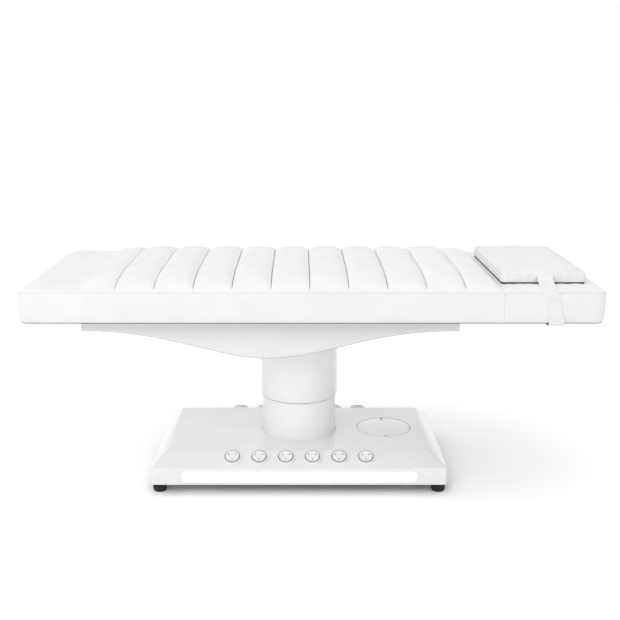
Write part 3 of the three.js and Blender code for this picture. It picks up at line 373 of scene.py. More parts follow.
def pick(piece, kind, wanted):
    """Opens a piece in edit mode with only the faces, edges or points selected that pass the test.
    A face is tested by its middle and normal, an edge by its middle and direction, in mm."""
    work_on(piece)
    bpy.ops.object.mode_set(mode="EDIT")
    bpy.ops.mesh.select_mode(type=kind)
    bpy.ops.mesh.select_all(action="DESELECT")
    shape = bmesh.from_edit_mesh(piece.data)
    for part in {"FACE": shape.faces, "EDGE": shape.edges, "VERT": shape.verts}[kind]:
        if kind == "FACE":
            facts = part.calc_center_median() / MM, part.normal
        elif kind == "EDGE":
            start, end = (vertex.co / MM for vertex in part.verts)
            facts = (start + end) / 2, end - start
        else:
            facts = (part.co / MM,)
        if wanted(*facts):
            part.select_set(True)
    bmesh.update_edit_mesh(piece.data)


def extrude(x=0, y=0, z=0):
    bpy.ops.mesh.extrude_region_move(TRANSFORM_OT_translate={"value": (x * MM, y * MM, z * MM)})


def bevel_edges(piece, offset, segments, wanted):
    pick(piece, "EDGE", wanted)
    bpy.ops.mesh.bevel(offset=offset * MM, segments=segments)
    bpy.ops.object.mode_set(mode="OBJECT")


def apply_modifier(piece, kind, **settings):
    work_on(piece)
    modifier = piece.modifiers.new(kind.lower(), kind)
    for key, value in settings.items():
        setattr(modifier, key, value)
    bpy.ops.object.modifier_apply(modifier=modifier.name)


def thicken(piece, wall, **settings):
    apply_modifier(piece, "SOLIDIFY", thickness=wall * MM, offset=-1, **settings)


def cut_away(piece, cutters):
    for cutter in cutters:
        apply_modifier(piece, "BOOLEAN", operation="DIFFERENCE", object=cutter, solver="EXACT")
        bpy.data.objects.remove(cutter)
    return piece


def outwards(piece):
    """Merges doubles and turns every face out."""
    work_on(piece)
    bpy.ops.object.mode_set(mode="EDIT")
    bpy.ops.mesh.select_mode(type="VERT")
    bpy.ops.mesh.select_all(action="SELECT")
    bpy.ops.mesh.remove_doubles(threshold=0.00001)
    bpy.ops.mesh.normals_make_consistent(inside=False)
    bpy.ops.object.mode_set(mode="OBJECT")
    return piece


def joined(pieces):
    """One piece from several, under the first one's name."""
    work_on(pieces[0])
    for piece in pieces:
        piece.select_set(True)
    bpy.ops.object.join()
    return pieces[0]


def placed(piece, matrix):
    """Moves a piece within its own mesh, so that the object stays at the origin."""
    piece.data.transform(matrix)
    return piece


def copy_of(piece, name, matrix):
    made = piece.copy()
    made.data = piece.data.copy()
    made.name = made.data.name = name
    bpy.context.scene.collection.objects.link(made)
    return placed(made, matrix)


def smooth(piece, degrees):
    work_on(piece)
    bpy.ops.object.shade_smooth_by_angle(angle=math.radians(degrees))


def dress(piece, body, material, slot, *replaced, angle=35):
    """Gives a finished piece its shading, its material, the body it rides on and the nodes it
    stands for. A piece made by mesh code has its shading already, so its angle is None."""
    if angle:
        smooth(piece, angle)
    clear_selection()
    piece.data.materials.clear()
    for one in material if isinstance(material, list) else [material]:
        piece.data.materials.append(one)
    if body:
        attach(piece, body)
    if replaced:
        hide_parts(*replaced)
    return piece


def block(name, x0, x1, y0, y1, z0, z1):
    clear_selection()
    bpy.ops.mesh.primitive_cube_add(
        size=1, location=((x0 + x1) / 2 * MM, (y0 + y1) / 2 * MM, (z0 + z1) / 2 * MM),
        scale=((x1 - x0) * MM, (y1 - y0) * MM, (z1 - z0) * MM))
    return started(name)


def rod(name, radius, z0, z1, x=0, y=0, sides=64, ends="NGON"):
    clear_selection()
    bpy.ops.mesh.primitive_cylinder_add(
        vertices=sides, radius=radius * MM, depth=(z1 - z0) * MM, end_fill_type=ends,
        location=(x * MM, y * MM, (z0 + z1) / 2 * MM))
    return started(name)


def turned(name, levels, sides=64, x=0, y=0):
    """A turned form: a disc at the first level, carried through the others by extrude and scale.
    A level is a radius and a height."""
    clear_selection()
    radius, height = levels[0]
    bpy.ops.mesh.primitive_circle_add(
        vertices=sides, radius=radius * MM, fill_type="NGON", location=(x * MM, y * MM, height * MM))
    piece = started(name)
    pick(piece, "FACE", lambda middle, normal: True)
    for new_radius, new_height in levels[1:]:
        extrude(z=new_height - height)
        if new_radius != radius:
            share = new_radius / radius
            bpy.ops.transform.resize(
                value=(share, share, 1), center_override=(x * MM, y * MM, new_height * MM))
        radius, height = new_radius, new_height
    bpy.ops.object.mode_set(mode="OBJECT")
    return outwards(piece)


def front_plate(name, length, height, depth0, depth1):
    """A plate with full-round ends for the light, between two depths behind the skirt's face."""
    radius = height / 2
    clear_selection()
    bpy.ops.mesh.primitive_cylinder_add(
        vertices=64, radius=radius * MM, depth=(depth1 - depth0) * MM, rotation=(math.pi / 2, 0, 0),
        location=(PEDESTAL_X * MM, ((depth0 + depth1) / 2 - COVER_HALF_DEPTH) * MM, LIGHT_Z * MM))
    piece = started(name)
    for vertex in piece.data.vertices:
        offset = vertex.co.x - PEDESTAL_X * MM
        if abs(offset) > 0.05 * MM:
            vertex.co.x += math.copysign((length / 2 - radius) * MM, offset)
    return piece


# Soft goods

def shoulder(distance, width):
    """Rises from the edge as a quarter of a sine wave does, and then stays level."""
    return np.sin(np.pi / 2 * np.clip(distance / width, 0, 1))


def ease(distance, width):
    """Rises fast from the edge and levels out slowly, as foam under a sewn cover does."""
    return 1 - (1 - np.clip(distance / width, 0, 1)) ** 3


def padded_rise(base, inwards):
    """How far the padding has risen this far in from the piping."""
    return (np.minimum(base, FLAT_RISE) * ease(inwards, FLAT_SHOULDER)
            + np.maximum(base - FLAT_RISE, 0) * shoulder(inwards, BASE_SHOULDER))


def waves(x, y, length, seed):
    """A smooth random relief between about -1 and 1, from seeded sine waves."""
    made = np.random.default_rng(seed)
    total = np.zeros(np.broadcast(x, y).shape)
    weight = 0
    for octave in range(3):
        for _ in range(5):
            angle = made.uniform(0, 2 * np.pi)
            reach = length / 2 ** octave * made.uniform(0.7, 1.4)
            phase = made.uniform(0, 2 * np.pi)
            share = 0.6 ** octave
            total = total + share * np.sin(
                2 * np.pi * (x * np.cos(angle) + y * np.sin(angle)) / reach + phase)
            weight += share
    return total / weight * 2.2


def grid_faces(n, m):
    return [(a, a + m, a + m + 1, a + 1) for i in range(n - 1) for a in range(i * m, i * m + m - 1)]


def ring_faces(rings):
    """The faces between closed rings of point numbers."""
    return [(upper[k], upper[k - len(upper) + 1], lower[k - len(upper) + 1], lower[k])
            for upper, lower in zip(rings, rings[1:]) for k in range(len(upper))]


def point_rows(mesh):
    """The places of a mesh's points, a row each, in metres."""
    places = np.empty(3 * len(mesh.vertices))
    mesh.vertices.foreach_get("co", places)
    return places.reshape(-1, 3)


def mesh_piece(name, points, faces, degrees=50):
    mesh = bpy.data.meshes.new(name)
    mesh.from_pydata((np.asarray(points) * MM).tolist(), [], [tuple(map(int, face)) for face in faces])
    mesh.update()
    piece = bpy.data.objects.new(name, mesh)
    bpy.context.scene.collection.objects.link(piece)
    smooth(piece, degrees)
    return piece


def loft(name, rings, degrees=50):
    """A closed piece through rings of the same number of points, capped at both ends."""
    numbers = np.arange(len(rings) * len(rings[0])).reshape(len(rings), -1)
    faces = ring_faces(numbers) + [numbers[0], numbers[-1][::-1]]
    return outwards(mesh_piece(name, np.concatenate(rings), faces, degrees))


def station_list(xs, half, start_corner, end_corner, steps):
    """Stations along X with the half width and the outward direction in plan at each."""
    def rounded(end, radius, sign):
        return [(end - sign * radius * (1 - np.cos(angle)), half - radius * (1 - np.sin(angle)),
                 sign * np.cos(angle), np.sin(angle))
                for angle in np.arange(steps if radius else 0) / steps * np.pi / 2]

    slip = 1e-6
    straight = [(x, half, 0.0, 1.0) for x in xs
                if xs[0] + start_corner <= x + slip and x <= xs[-1] - end_corner + slip]
    return np.array(rounded(xs[0], start_corner, -1) + straight + rounded(xs[-1], end_corner, 1)[::-1])


def edge_shares(half, fine, coarse, margin):
    """Shares of the half width from -1 to 1, close together near the edges."""
    inner = np.linspace(-half + margin, half - margin, int(round(2 * (half - margin) / coarse)) + 1)
    outer = half - margin * (1 - np.linspace(0, 1, int(margin / fine) + 1)[1:])
    return np.concatenate([-outer[::-1], inner, outer]) / half


def cushion(stations, shares, centre_y, level, sides, round_start, round_end):
    """A closed cushion: a gridded upper face, rings down the sides and a flat under face.
    level(x, y, half) gives the upper face. sides(walk, edge) gives each ring's height and reach
    from the way walked along the edge and the edge's height."""
    n, m = len(stations), len(shares)
    x = np.repeat(stations[:, :1], m, axis=1)
    half = np.repeat(stations[:, 1:2], m, axis=1)
    y = half * shares
    upper = np.stack([x, y + centre_y, level(x, y, half)], axis=-1).reshape(-1, 3)
    across, inner = np.arange(m), np.arange(1, n - 1)
    ring = np.concatenate([across, inner * m + m - 1, (n - 1) * m + across[::-1], inner[::-1] * m])
    blunt = np.column_stack([0 * shares, shares])
    normals = np.concatenate([
        np.tile((-1.0, 0.0), (m, 1)) if round_start else blunt, stations[inner, 2:],
        np.tile((1.0, 0.0), (m, 1)) if round_end else blunt[::-1], stations[inner[::-1], 2:] * (1, -1)])
    edge = upper[ring]
    walk = np.concatenate([[0], np.cumsum(np.linalg.norm(np.diff(edge[:, :2], axis=0), axis=1))])
    points = [upper]
    for height, reach in sides(walk, edge[:, 2]):
        points.append(np.column_stack([edge[:, :2] + normals * reach[:, None], height]))
    lower = np.arange((len(points) - 1) * len(ring)).reshape(-1, len(ring)) + n * m
    rings = [ring, *lower]
    return np.concatenate(points), grid_faces(n, m) + ring_faces(rings) + [rings[-1]]


def cloth_pass(piece, free, pressure, slack, cap):
    """Swells the free points between the sewn ones with air pressure and a little spare cloth.
    No point moves further than the cap, in mm, and the result stays in the mesh."""
    trial = copy_of(piece, "cloth_trial", Matrix.Identity(4))
    sewn = trial.vertex_groups.new(name="sewn")
    sewn.add([int(k) for k in np.nonzero(~free)[0]], 1.0, "REPLACE")
    cloth = trial.modifiers.new("cloth", "CLOTH")
    cloth.point_cache.frame_start, cloth.point_cache.frame_end = 1, CLOTH_FRAMES
    cloth.settings.effector_weights.gravity = 0
    for key, value in {
            "vertex_group_mass": "sewn", "quality": 5, "mass": 0.25, "tension_stiffness": 15,
            "compression_stiffness": 15, "shear_stiffness": 5, "bending_stiffness": 0.6,
            "use_pressure": True, "uniform_pressure_force": pressure, "shrink_min": -slack}.items():
        setattr(cloth.settings, key, value)
    for moment in range(1, CLOTH_FRAMES + 1):
        bpy.context.scene.frame_set(moment)
    swollen = trial.evaluated_get(bpy.context.evaluated_depsgraph_get()).to_mesh()
    before = point_rows(piece.data)
    shift = point_rows(swollen) - before
    reach = np.linalg.norm(shift, axis=1)
    shift *= np.minimum(1, cap * MM / np.maximum(reach, 1e-9))[:, None]
    piece.data.vertices.foreach_set("co", (before + shift).reshape(-1))
    piece.data.update()
    bpy.data.objects.remove(trial)
    bpy.context.scene.frame_set(1)


def sheet_pass(points, n, m, free, kept_rows, pressure, slack, cap):
    """The cloth pass for an upper face of n by m points, on every second row and column."""
    upper = points[:n * m].reshape(n, m, 3)
    rows = np.array(sorted({*range(0, n, 2), n - 1, *kept_rows}))
    columns = np.array(sorted({*range(0, m, 2), m - 1}))
    coarse = upper[np.ix_(rows, columns)]
    sheet = mesh_piece("cloth_sheet", coarse.reshape(-1, 3), grid_faces(len(rows), len(columns)))
    cloth_pass(sheet, free.reshape(n, m)[np.ix_(rows, columns)].reshape(-1), pressure, slack, cap)
    moves = point_rows(sheet.data).reshape(coarse.shape) / MM - coarse
    bpy.data.objects.remove(sheet)
    for axis in range(3):
        along = [np.interp(np.arange(n), rows, column) for column in moves[:, :, axis].T]
        upper[:, :, axis] += [np.interp(np.arange(m), columns, row) for row in np.transpose(along)]


def side_rings(walk, edge):
    """The padding's side: piping, stitched band, slack side, rolled lower edge, and last the rows
    of the grey cloth that covers the under side; on the rolled edge that grey is painted shade.
    It follows the edge where that dips."""
    slack_top, slack_low = SEAM_LEVEL - 9.5, UNDERSIDE + 24
    profile = [(SEAM_LEVEL - drop, out) for drop, out in (
        (0.7, 0.7), (1.6, 0.7), (2.3, -0.7), (2.9, -0.8), (3.6, 0.3), (4.8, 0.6), (6.2, 0.6),
        (6.9, 0.1), (STITCH_DROP, -0.2), (7.9, 0.1), (9.5, 0.6))]
    profile += [(slack_top + (slack_low - slack_top) * share, 0.6 + 0.9 * math.sin(math.pi * share))
                for share in (0.15, 0.35, 0.55, 0.75, 0.9)]
    profile += [(UNDERSIDE + rise, out) for rise, out in (
        (24, 0.4), (17, -0.1), (12, -1.0), (8.5, -2.0), (5.8, -3.2), (CLOTH_AND_SHADE_RISE, -4.5), (2, -5.4),
        (0.8, -6.2), (0, -7.3))]
    rings = []
    for height, out in profile:
        share = (height - UNDERSIDE) / (SEAM_LEVEL - UNDERSIDE)
        ripple = 0.5 * waves(walk, 0 * walk + share * 90, 130, 9) * math.sin(math.pi * share)
        rings.append((UNDERSIDE + (edge - UNDERSIDE) * share, out + ripple))
    return rings


def end_dip(x):
    """How far the piping sinks towards the two ends of the top."""
    return FOOT_DIP * (1 - ease(x + TOP_END, DIP_LENGTH)) + HEAD_DIP * (1 - ease(TOP_END - x, DIP_LENGTH))


def roll_base(channel, share):
    if channel == 0:
        return FLAT_RISE + (VALLEY_RISE - FLAT_RISE) * share ** 1.2
    if channel == CHANNELS - 1:
        return VALLEY_RISE + (SEAM_RISE - VALLEY_RISE) * share
    return VALLEY_RISE


def main_stations():
    """X positions along the main part with the base and crown heights there, and the slit's depth."""
    run_in, pillow_room, steps = 30, 14, 26
    table = {}
    for x in [-TOP_END, *np.linspace(CORNER - TOP_END, FIRST_CHANNEL - run_in, 18),
              *(FIRST_CHANNEL - run_in + run_in * np.linspace(0, 1, 6)[:-1])]:
        table[round(float(x), 4)] = (FLAT_RISE, 0.0, 0.0)
    for channel in range(CHANNELS):
        first, last = channel == 0, channel == CHANNELS - 1
        width = PITCH - (GROOVE if last else 0)
        for step in range(steps + 1 if last else steps):
            share = (1 - math.cos(math.pi * step / steps)) / 2
            crown = (CROWN_RISE - CLOTH_SPARE) * max(0, 1 - abs(2 * share - 1) ** 2.4) ** 0.5
            if first and share < 0.5:
                crown *= math.sin(math.pi * share) ** 1.5
            if last:
                # Room for the pillow's edge when the head section is lifted
                crown *= float(shoulder((1 - share) * width, pillow_room))
            slit = 0.0
            if not first and step < 2:
                slit = SLIT_DEPTH * (1 - 0.4 * step)
            if not last and step == steps - 1:
                slit = SLIT_DEPTH * 0.6
            x = FIRST_CHANNEL + channel * PITCH + width * share
            table[round(x, 4)] = (roll_base(channel, share), crown, slit)
    for short in (2.2, 1.4, 0.7, SEAM_GAP):
        table[SEAM_X - short] = (0.0, 0.0, 0.0)
    xs = np.array(sorted(table))
    return xs, np.array([table[x] for x in xs])


def draw_in_at_seam(stations):
    """Rounds the upright edges of a cover at the seam between the two sections."""
    near = np.clip(1 - np.abs(stations[:, 0] - SEAM_X) / SEAM_ROUNDING, 0, 1)
    stations[:, 1] -= SEAM_ROUNDING * (1 - np.sqrt(1 - near ** 2))
    return stations


def cover_level(x, rise):
    """The height of a cover, which closes to the hinge's level at the seam."""
    closing = np.clip((GROOVE - np.abs(x - SEAM_X)) / (GROOVE - SEAM_GAP), 0, 1)
    return SEAM_LEVEL - end_dip(x) + rise * (1 - closing) + (HINGE_LEVEL - SEAM_LEVEL) * closing


def section_cover(name, stations, level, at_head, may_move, kept_rows, pressure, slack, cap):
    """A section's closed cover, swollen where may_move(x, y) allows it."""
    shares = edge_shares(TOP_HALF, 3, 9, 36)
    points, faces = cushion(stations, shares, 0, level, side_rings, not at_head, at_head)
    n, m = len(stations), len(shares)
    x, y, _ = points[:n * m].T
    free = may_move(x, y) & (TOP_HALF - np.abs(y) > 5)
    sheet_pass(points, n, m, free, kept_rows, pressure, slack, cap)
    return mesh_piece(name, points, faces)


def main_cover():
    xs, values = main_stations()
    stations = draw_in_at_seam(station_list(xs, TOP_HALF, CORNER, 0, 9))
    seams = xs[values[:, 2] == SLIT_DEPTH]

    def level(x, y, half):
        base, crown, slit = (np.interp(x, xs, column) for column in values.T)
        from_foot, inwards = x + TOP_END, half - np.abs(y)
        loose = waves(x, y * 0.5, 260, 3) * 0.7
        return cover_level(x, (
            padded_rise(base, inwards) * shoulder(from_foot, END_SHOULDER)
            + crown * shoulder(inwards, ROLL_SHOULDER) - slit * shoulder(inwards - SLIT_START, 40)
            + loose * shoulder(inwards, 60) * shoulder(from_foot, 60) * shoulder(SEAM_X - x, 25)))

    def may_move(x, y):
        off_seam = np.abs(x[:, None] - seams).min(axis=1) > 2
        return off_seam & (x > 8 - TOP_END) & (x < SEAM_X - GROOVE - 2)

    seam_rows = [int(np.argmin(np.abs(stations[:, 0] - seam))) for seam in seams]
    return section_cover("main_cover", stations, level, False, may_move, seam_rows, 3.0, 0.004, 3.0)


def head_cover():
    xs = np.concatenate([SEAM_X + np.array([SEAM_GAP, 0.7, 1.4, 2.2, 3.6, GROOVE]),
                         np.linspace(SEAM_X + GROOVE + 3, TOP_END - CORNER, 34), [TOP_END]])
    stations = draw_in_at_seam(station_list(xs, TOP_HALF, 0, CORNER, 9))
    resting = PILLOW_Z[0] - 0.3 - SEAM_LEVEL

    def level(x, y, half):
        base = SEAM_RISE + (HEAD_RISE - SEAM_RISE) * shoulder(x - SEAM_X - GROOVE, END_SHOULDER)
        from_end = shoulder(TOP_END - x, END_SHOULDER)
        inwards = half - np.abs(y)
        loose = waves(x, y, 170, 5) * 0.8 * shoulder(inwards, 80) * from_end * shoulder(x - SEAM_X, 60)
        under_pillow = 1
        for at, (low, high) in ((x, PILLOW_X), (y, PILLOW_Y)):
            under_pillow = under_pillow * shoulder(at - low + 10, 30) * shoulder(high + 10 - at, 30)
        rise = padded_rise(base, inwards) * from_end + loose * (1 - under_pillow)
        pressed = np.minimum(rise, rise + (resting - rise) * under_pillow)
        return cover_level(x, np.where(under_pillow > 0.02, pressed, rise))

    def may_move(x, y):
        pressed = ((x > PILLOW_X[0] - 4) & (x < PILLOW_X[1] + 4)
                   & (y > PILLOW_Y[0] - 4) & (y < PILLOW_Y[1] + 4))
        return ~pressed & (x < TOP_END - 8) & (x > xs[0] + 12)

    return section_cover("head_cover", stations, level, True, may_move, [], 2.0, 0.01, 2)


def board_and_hinge_cutters(x0, x1, sign):
    """The recess for the board, rounded at the outer end, and the slots round the hinges."""
    x0, x1 = x0 - BOARD_GAP, x1 + BOARD_GAP
    half = TOP_HALF - BOARD_INSET + BOARD_GAP
    recess = block("cutter", x0, x1, -half, half, UNDERSIDE - 5, UNDERSIDE + BOARD_THICK + BOARD_GAP)
    outer = x0 if sign < 0 else x1
    bevel_edges(recess, CORNER - BOARD_INSET + BOARD_GAP, 8,
                lambda middle, along: abs(along.z) > 5 and abs(middle.x - outer) < 0.1)
    hinge = sorted((SEAM_X + sign * HINGE_REACH, SEAM_X - sign * 5))
    return [recess] + [
        block("cutter", *hinge, *sorted(side * y for y in HINGE_SLOT), UNDERSIDE - 5, HINGE_TOP)
        for side in (-1, 1)]


main = cut_away(main_cover(), board_and_hinge_cutters(BOARD_INSET - TOP_END, SEAM_X - BOARD_INSET, -1))
dress(main, "top", [vinyl, under_cloth_and_edge_shade, seam_shade_vinyl], "upholstery", "main_padding", angle=50)

head = cut_away(head_cover(), board_and_hinge_cutters(SEAM_X + BOARD_INSET, TOP_END - BOARD_INSET, 1))
dress(head, "head", [vinyl, under_cloth_and_edge_shade], "upholstery", "head_padding", angle=50)
# Grey cloth on the under face, and on the lowest rows of the rolled edge as painted shade under the edge
for cover in (main, head):
    for face in cover.data.polygons:
        if face.center.z < (UNDERSIDE + CLOTH_AND_SHADE_RISE - 0.2) * MM:
            face.material_index = 1
seam_lines = [FIRST_CHANNEL + channel * PITCH for channel in range(1, CHANNELS)]
# Painted shade: the faces deep in each channel seam take the darker grey vinyl
for face in main.data.polygons:
    middle = face.center / MM
    if middle.z > SEAM_LEVEL and abs(middle.y) < TOP_HALF - 14:
        if min(abs(middle.x - seam) for seam in seam_lines) < 0.45:
            face.material_index = 2


def seam_gusset():
    """The strip of cover sewn between the two sections: it fills the groove over the hinge line."""
    sag, sunk, edge_y = 1.2, 1.4, 383
    rings = []
    for y in [*np.linspace(-edge_y, -372, 4), *np.linspace(-362, 362, 62), *np.linspace(372, edge_y, 4)]:
        depth = float(np.interp(abs(y), [0, 328, 352, edge_y], [756, 756, 748.5, 748.5]))
        low_half = (depth - HINGE_LEVEL) / (SEAM_LEVEL + SEAM_RISE - HINGE_LEVEL) * GROOVE - 0.15
        brim = SEAM_LEVEL + SEAM_RISE * float(ease(TOP_HALF - abs(y), FLAT_SHOULDER))
        upper_half = (brim - sunk - HINGE_LEVEL) / (brim - HINGE_LEVEL) * (GROOVE - SEAM_GAP)
        upper = brim - sunk - 1.5 * max(0, abs(y) - 378) / 5
        ruffle = 0.35 * math.sin(y / 9.0)
        rings.append([(SEAM_X + upper_half * t, y, upper - (sag - ruffle) * (1 - t * t))
                      for t in np.linspace(-1, 1, 9)]
                     + [(SEAM_X + low_half * t, y, depth) for t in (1, 0, -1)])
    return loft("seam_gusset", rings)


gusset = dress(seam_gusset(), None, vinyl, "upholstery", angle=None)
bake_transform(gusset)


# Stitches

def one_stitch():
    """A short, fat stitch of thread lying along X."""
    clear_selection()
    bpy.ops.mesh.primitive_uv_sphere_add(segments=6, ring_count=4, radius=1, rotation=(0, math.pi / 2, 0))
    piece = started("one_stitch")
    pick(piece, "VERT", lambda at: True)
    bpy.ops.transform.resize(value=(2.7 * MM, 0.7 * MM, 0.55 * MM), center_override=(0, 0, 0))
    bpy.ops.object.mode_set(mode="OBJECT")
    return piece


def sew(name, body, cover, places):
    """A row of stitches; a place is a point outside the cover, the way in and the row's direction."""
    stitch = one_stitch()
    form = point_rows(stitch.data)
    loops = [tuple(face.vertices) for face in stitch.data.polygons]
    bpy.data.objects.remove(stitch)
    points, faces = [], []
    for start, inward, along in places:
        hit, at, out, _ = cover.ray_cast(Vector(start) * MM, Vector(inward).normalized())
        if not hit:
            continue
        out = out.normalized()
        length = (Vector(along) - out * Vector(along).dot(out)).normalized()
        turn = np.array([tuple(length), tuple(out.cross(length)), tuple(out)])
        first = len(points)
        points.extend((form @ turn + np.array(tuple(at + out * 0.2 * MM))) / MM)
        faces.extend(tuple(first + k for k in loop) for loop in loops)
    dress(mesh_piece(name, points, faces, 80), body, thread, "upholstery", angle=None)


def edge_walk(x0, x1, round_start, round_end):
    """Places along the upper edge's stitch line, from one end of a cover round to the other."""
    level, away = SEAM_LEVEL - STITCH_DROP, 20
    ends = [end for end, there in (((x0, -1), round_start), ((x1, 1), round_end)) if there]
    left, right = x0 + (CORNER if round_start else 8), x1 - (CORNER if round_end else 8)
    places = []
    for side in (-1, 1):
        places += [((x, side * (TOP_HALF + away), level - end_dip(x)), (0, -side, 0), (1, 0, 0))
                   for x in np.arange(left, right, STITCH_PITCH)]
        for end, sign in ends:
            x, y = end - sign * CORNER, side * (TOP_HALF - CORNER)
            for angle in np.arange(0.1, np.pi / 2, STITCH_PITCH / CORNER):
                out_x, out_y = sign * np.sin(angle), side * np.cos(angle)
                places.append(((x + out_x * (CORNER + away), y + out_y * (CORNER + away),
                                level - end_dip(x + out_x * CORNER)),
                               (-out_x, -out_y, 0), (out_y, -out_x, 0)))
    for end, sign in ends:
        places += [((end + sign * away, y, level - end_dip(end)), (-sign, 0, 0), (0, 1, 0))
                   for y in np.arange(CORNER - TOP_HALF, TOP_HALF - CORNER, STITCH_PITCH)]
    return places


sew("main_edge_stitches", "top", main, edge_walk(-TOP_END, SEAM_X, True, False))
sew("head_edge_stitches", "head", head, edge_walk(SEAM_X, TOP_END, False, True))
# Along the bottom of each channel line, seen from above
sew("channel_stitches", "top", main, [
    ((seam, y, 850), (0, 0, -1), (0, 1, 0))
    for seam in seam_lines for y in np.arange(-355, 356, STITCH_PITCH)])
sew("seam_stitches", "head", head, [
    ((SEAM_X + 10, side * (TOP_HALF + 20), z), (0, -side, 0), (0, 0, 1))
    for side in (-1, 1) for z in np.arange(UNDERSIDE + 22, SEAM_LEVEL - 12, STITCH_PITCH)])


def pillow_cushion():
    (x0, x1), (y0, y1), (z0, z1) = PILLOW_X, PILLOW_Y, PILLOW_Z
    half, centre = (y1 - y0) / 2, (y0 + y1) / 2
    edge_top, edge_low = z1 - 6, z0 + 5
    xs = [x0, *np.linspace(x0 + PILLOW_CORNER, x1 - PILLOW_CORNER, 34), x1]
    stations = station_list(xs, half, PILLOW_CORNER, PILLOW_CORNER, 6)
    shares = edge_shares(half, 5, 10, 20)

    def from_edge(x, y, half_here):
        return np.minimum(half_here - np.abs(y), np.minimum(x - x0, x1 - x))

    def level(x, y, half_here):
        inwards = from_edge(x, y, half_here)
        return (edge_top + 1.6 * shoulder(inwards, 9) + 2.4 * shoulder(inwards, 80)
                + waves(x, y, 130, 11) * 0.6 * shoulder(inwards, 50))

    def sides(walk, edge):
        # The seam and the slack side, then the black band, set in under it, that paints the pillow's shadow
        rows = [(edge_top - drop, out, slack) for drop, out, slack in (
            (0.9, 0.7, 0), (1.8, 0.9, 0.1), (3.4, 1.0, 0.3), (7, 1.2, 0.6), (12, 1.5, 0.9),
            (18, 1.6, 1.0), (24, 1.4, 0.9), (28, 1.1, 0.6))]
        rows += [(z0 + rise, out, slack) for rise, out, slack in (
            (8.4, 0.9, 0.2), (7.2, 0.6, 0), (6.6, 0.1, 0), (6.2, -0.8, 0), (3.2, -1.0, 0),
            (0.9, -1.4, 0), (0, -3, 0), (0, -14, 0))]
        return [(height + 0 * walk, out + slack * (
            1.1 * waves(walk, 0 * walk + height * 1.2, 60, 14)
            + 0.8 * waves(walk, 0 * walk + height * 1.8, 24, 15))) for height, out, slack in rows]

    points, faces = cushion(stations, shares, centre, level, sides, True, True)
    piece = mesh_piece("pillow_cushion", points, faces, 60)
    x, y, z = points.T
    on_top = np.arange(len(points)) < len(stations) * len(shares)
    free = np.where(on_top, from_edge(x, y - centre, half) > 3, (z > edge_low + 4) & (z < edge_top - 4))
    cloth_pass(piece, free, 3.5, 0.03, 4)
    return piece


pillow = dress(pillow_cushion(), "head", [pillow_vinyl, painted_pillow_shadow], "upholstery", "pillow", angle=None)
# Painted shadow: the faces near the pillow's foot take the black cloth
for face in pillow.data.polygons:
    face.material_index = 1 if face.center.z < (PILLOW_Z[0] + PILLOW_SHADOW_BAND) * MM else 0


def strap_band():
    """The strap from the pillow's front seam, down the side, under the slab and up behind.
    Its line is given by Y, Z and how far it leans along X."""
    outer, under = TOP_HALF + 3.4, UNDERSIDE - 8
    front, rear = PILLOW_Y[0] - 3.2, PILLOW_Y[1] + 3.2
    line = np.array([
        (front, 799, -11), (front - 2, 790, -11), (front - 14, 779, -12), (front - 45, 771, -13),
        (-outer + 14, 762.5, -14), (-outer + 3, 759.8, -14), (-outer + 0.2, 755, -13), (-outer, 740, -9),
        (-outer, 700, 2), (-outer, 662, 11), (-outer - 0.4, 650, 12), (-outer + 2, under + 1.6, 12),
        (-outer + 9, under, 12), (-200, under, 6), (0, under, 0), (200, under, -4),
        (outer - 9, under, -8), (outer - 2, under + 1.6, -8), (outer, 652, -8), (outer, 700, -6),
        (outer, 755, -3), (outer - 3, 759.8, -2), (outer - 14, 762.5, -1), (rear + 45, 771, 0),
        (rear + 14, 779, 0), (rear + 2, 790, 0), (rear, 799, 0)])
    walk = np.concatenate([[0], np.cumsum(np.hypot(np.diff(line[:, 0]), np.diff(line[:, 1])))])
    fine = np.unique(np.concatenate([np.arange(0, walk[-1], 7), walk]))
    path = np.column_stack([np.interp(fine, walk, column) for column in line.T])
    for _ in range(3):
        path[1:-1] = (path[:-2] + 2 * path[1:-1] + path[2:]) / 4
    tangent = np.gradient(path[:, :2], axis=0)
    tangent /= np.linalg.norm(tangent, axis=1)[:, None]
    half = STRAP_WIDTH / 2
    across = [STRAP_WIDTH * k / 8 - half for k in range(8)] + [half - STRAP_SHADOW_EDGE, half]
    section = [(w, STRAP_THICK if abs(w) < half else STRAP_THICK * 0.8) for w in across]
    section += [(w, 0.0 if abs(w) < half else 0.2) for w in reversed(across)]
    rings = [[(STRAP_X + lean + w, y - along_z * t, z + along_y * t) for w, t in section]
             for (y, z, lean), (along_y, along_z) in zip(path, tangent)]
    return loft("strap_band", rings, 60), len(section)


strap, strap_sides = strap_band()
dress(strap, "head", [strap_cover, strap_shadow_edge], "strap", "pillow_strap", angle=None)
for face in strap.data.polygons:
    # Painted shadow: the two sides of each ring that make the band's right edge take the grey
    if face.index % strap_sides in (8, 9) and len(face.vertices) == 4:
        face.material_index = 1


# Lift column

def column_tube(name, radius, wall, z0, z1):
    """A tube from an open cylinder, thickened inwards, with a broken edge at each rim."""
    piece = rod(name, radius, z0, z1, PEDESTAL_X, 0, 160, "NOTHING")
    thicken(piece, wall)
    bevel_edges(piece, min(0.8, wall * 0.3), 2, lambda middle, along: abs(along.z) < 0.01
                and (middle - Vector((PEDESTAL_X, 0, middle.z))).length > radius - 0.5)
    return piece


dress(column_tube("lower_tube", *LOWER_TUBE), "base", tube_paint, "column_paint", "column_lower_tube")
dress(column_tube("upper_tube", *UPPER_TUBE), "lift", tube_paint, "column_paint", "column_upper_tube")
dress(column_tube("column_ring", *RING), "base", tube_paint, "column_paint", "column_collar")
# A dark rubber wiper just under the upper tube's rim, which also paints the shadow line there
dress(column_tube("column_shade_wiper", *SHADE_WIPER), "lift", gasket_rubber, "dark_plastic")


# Base cover

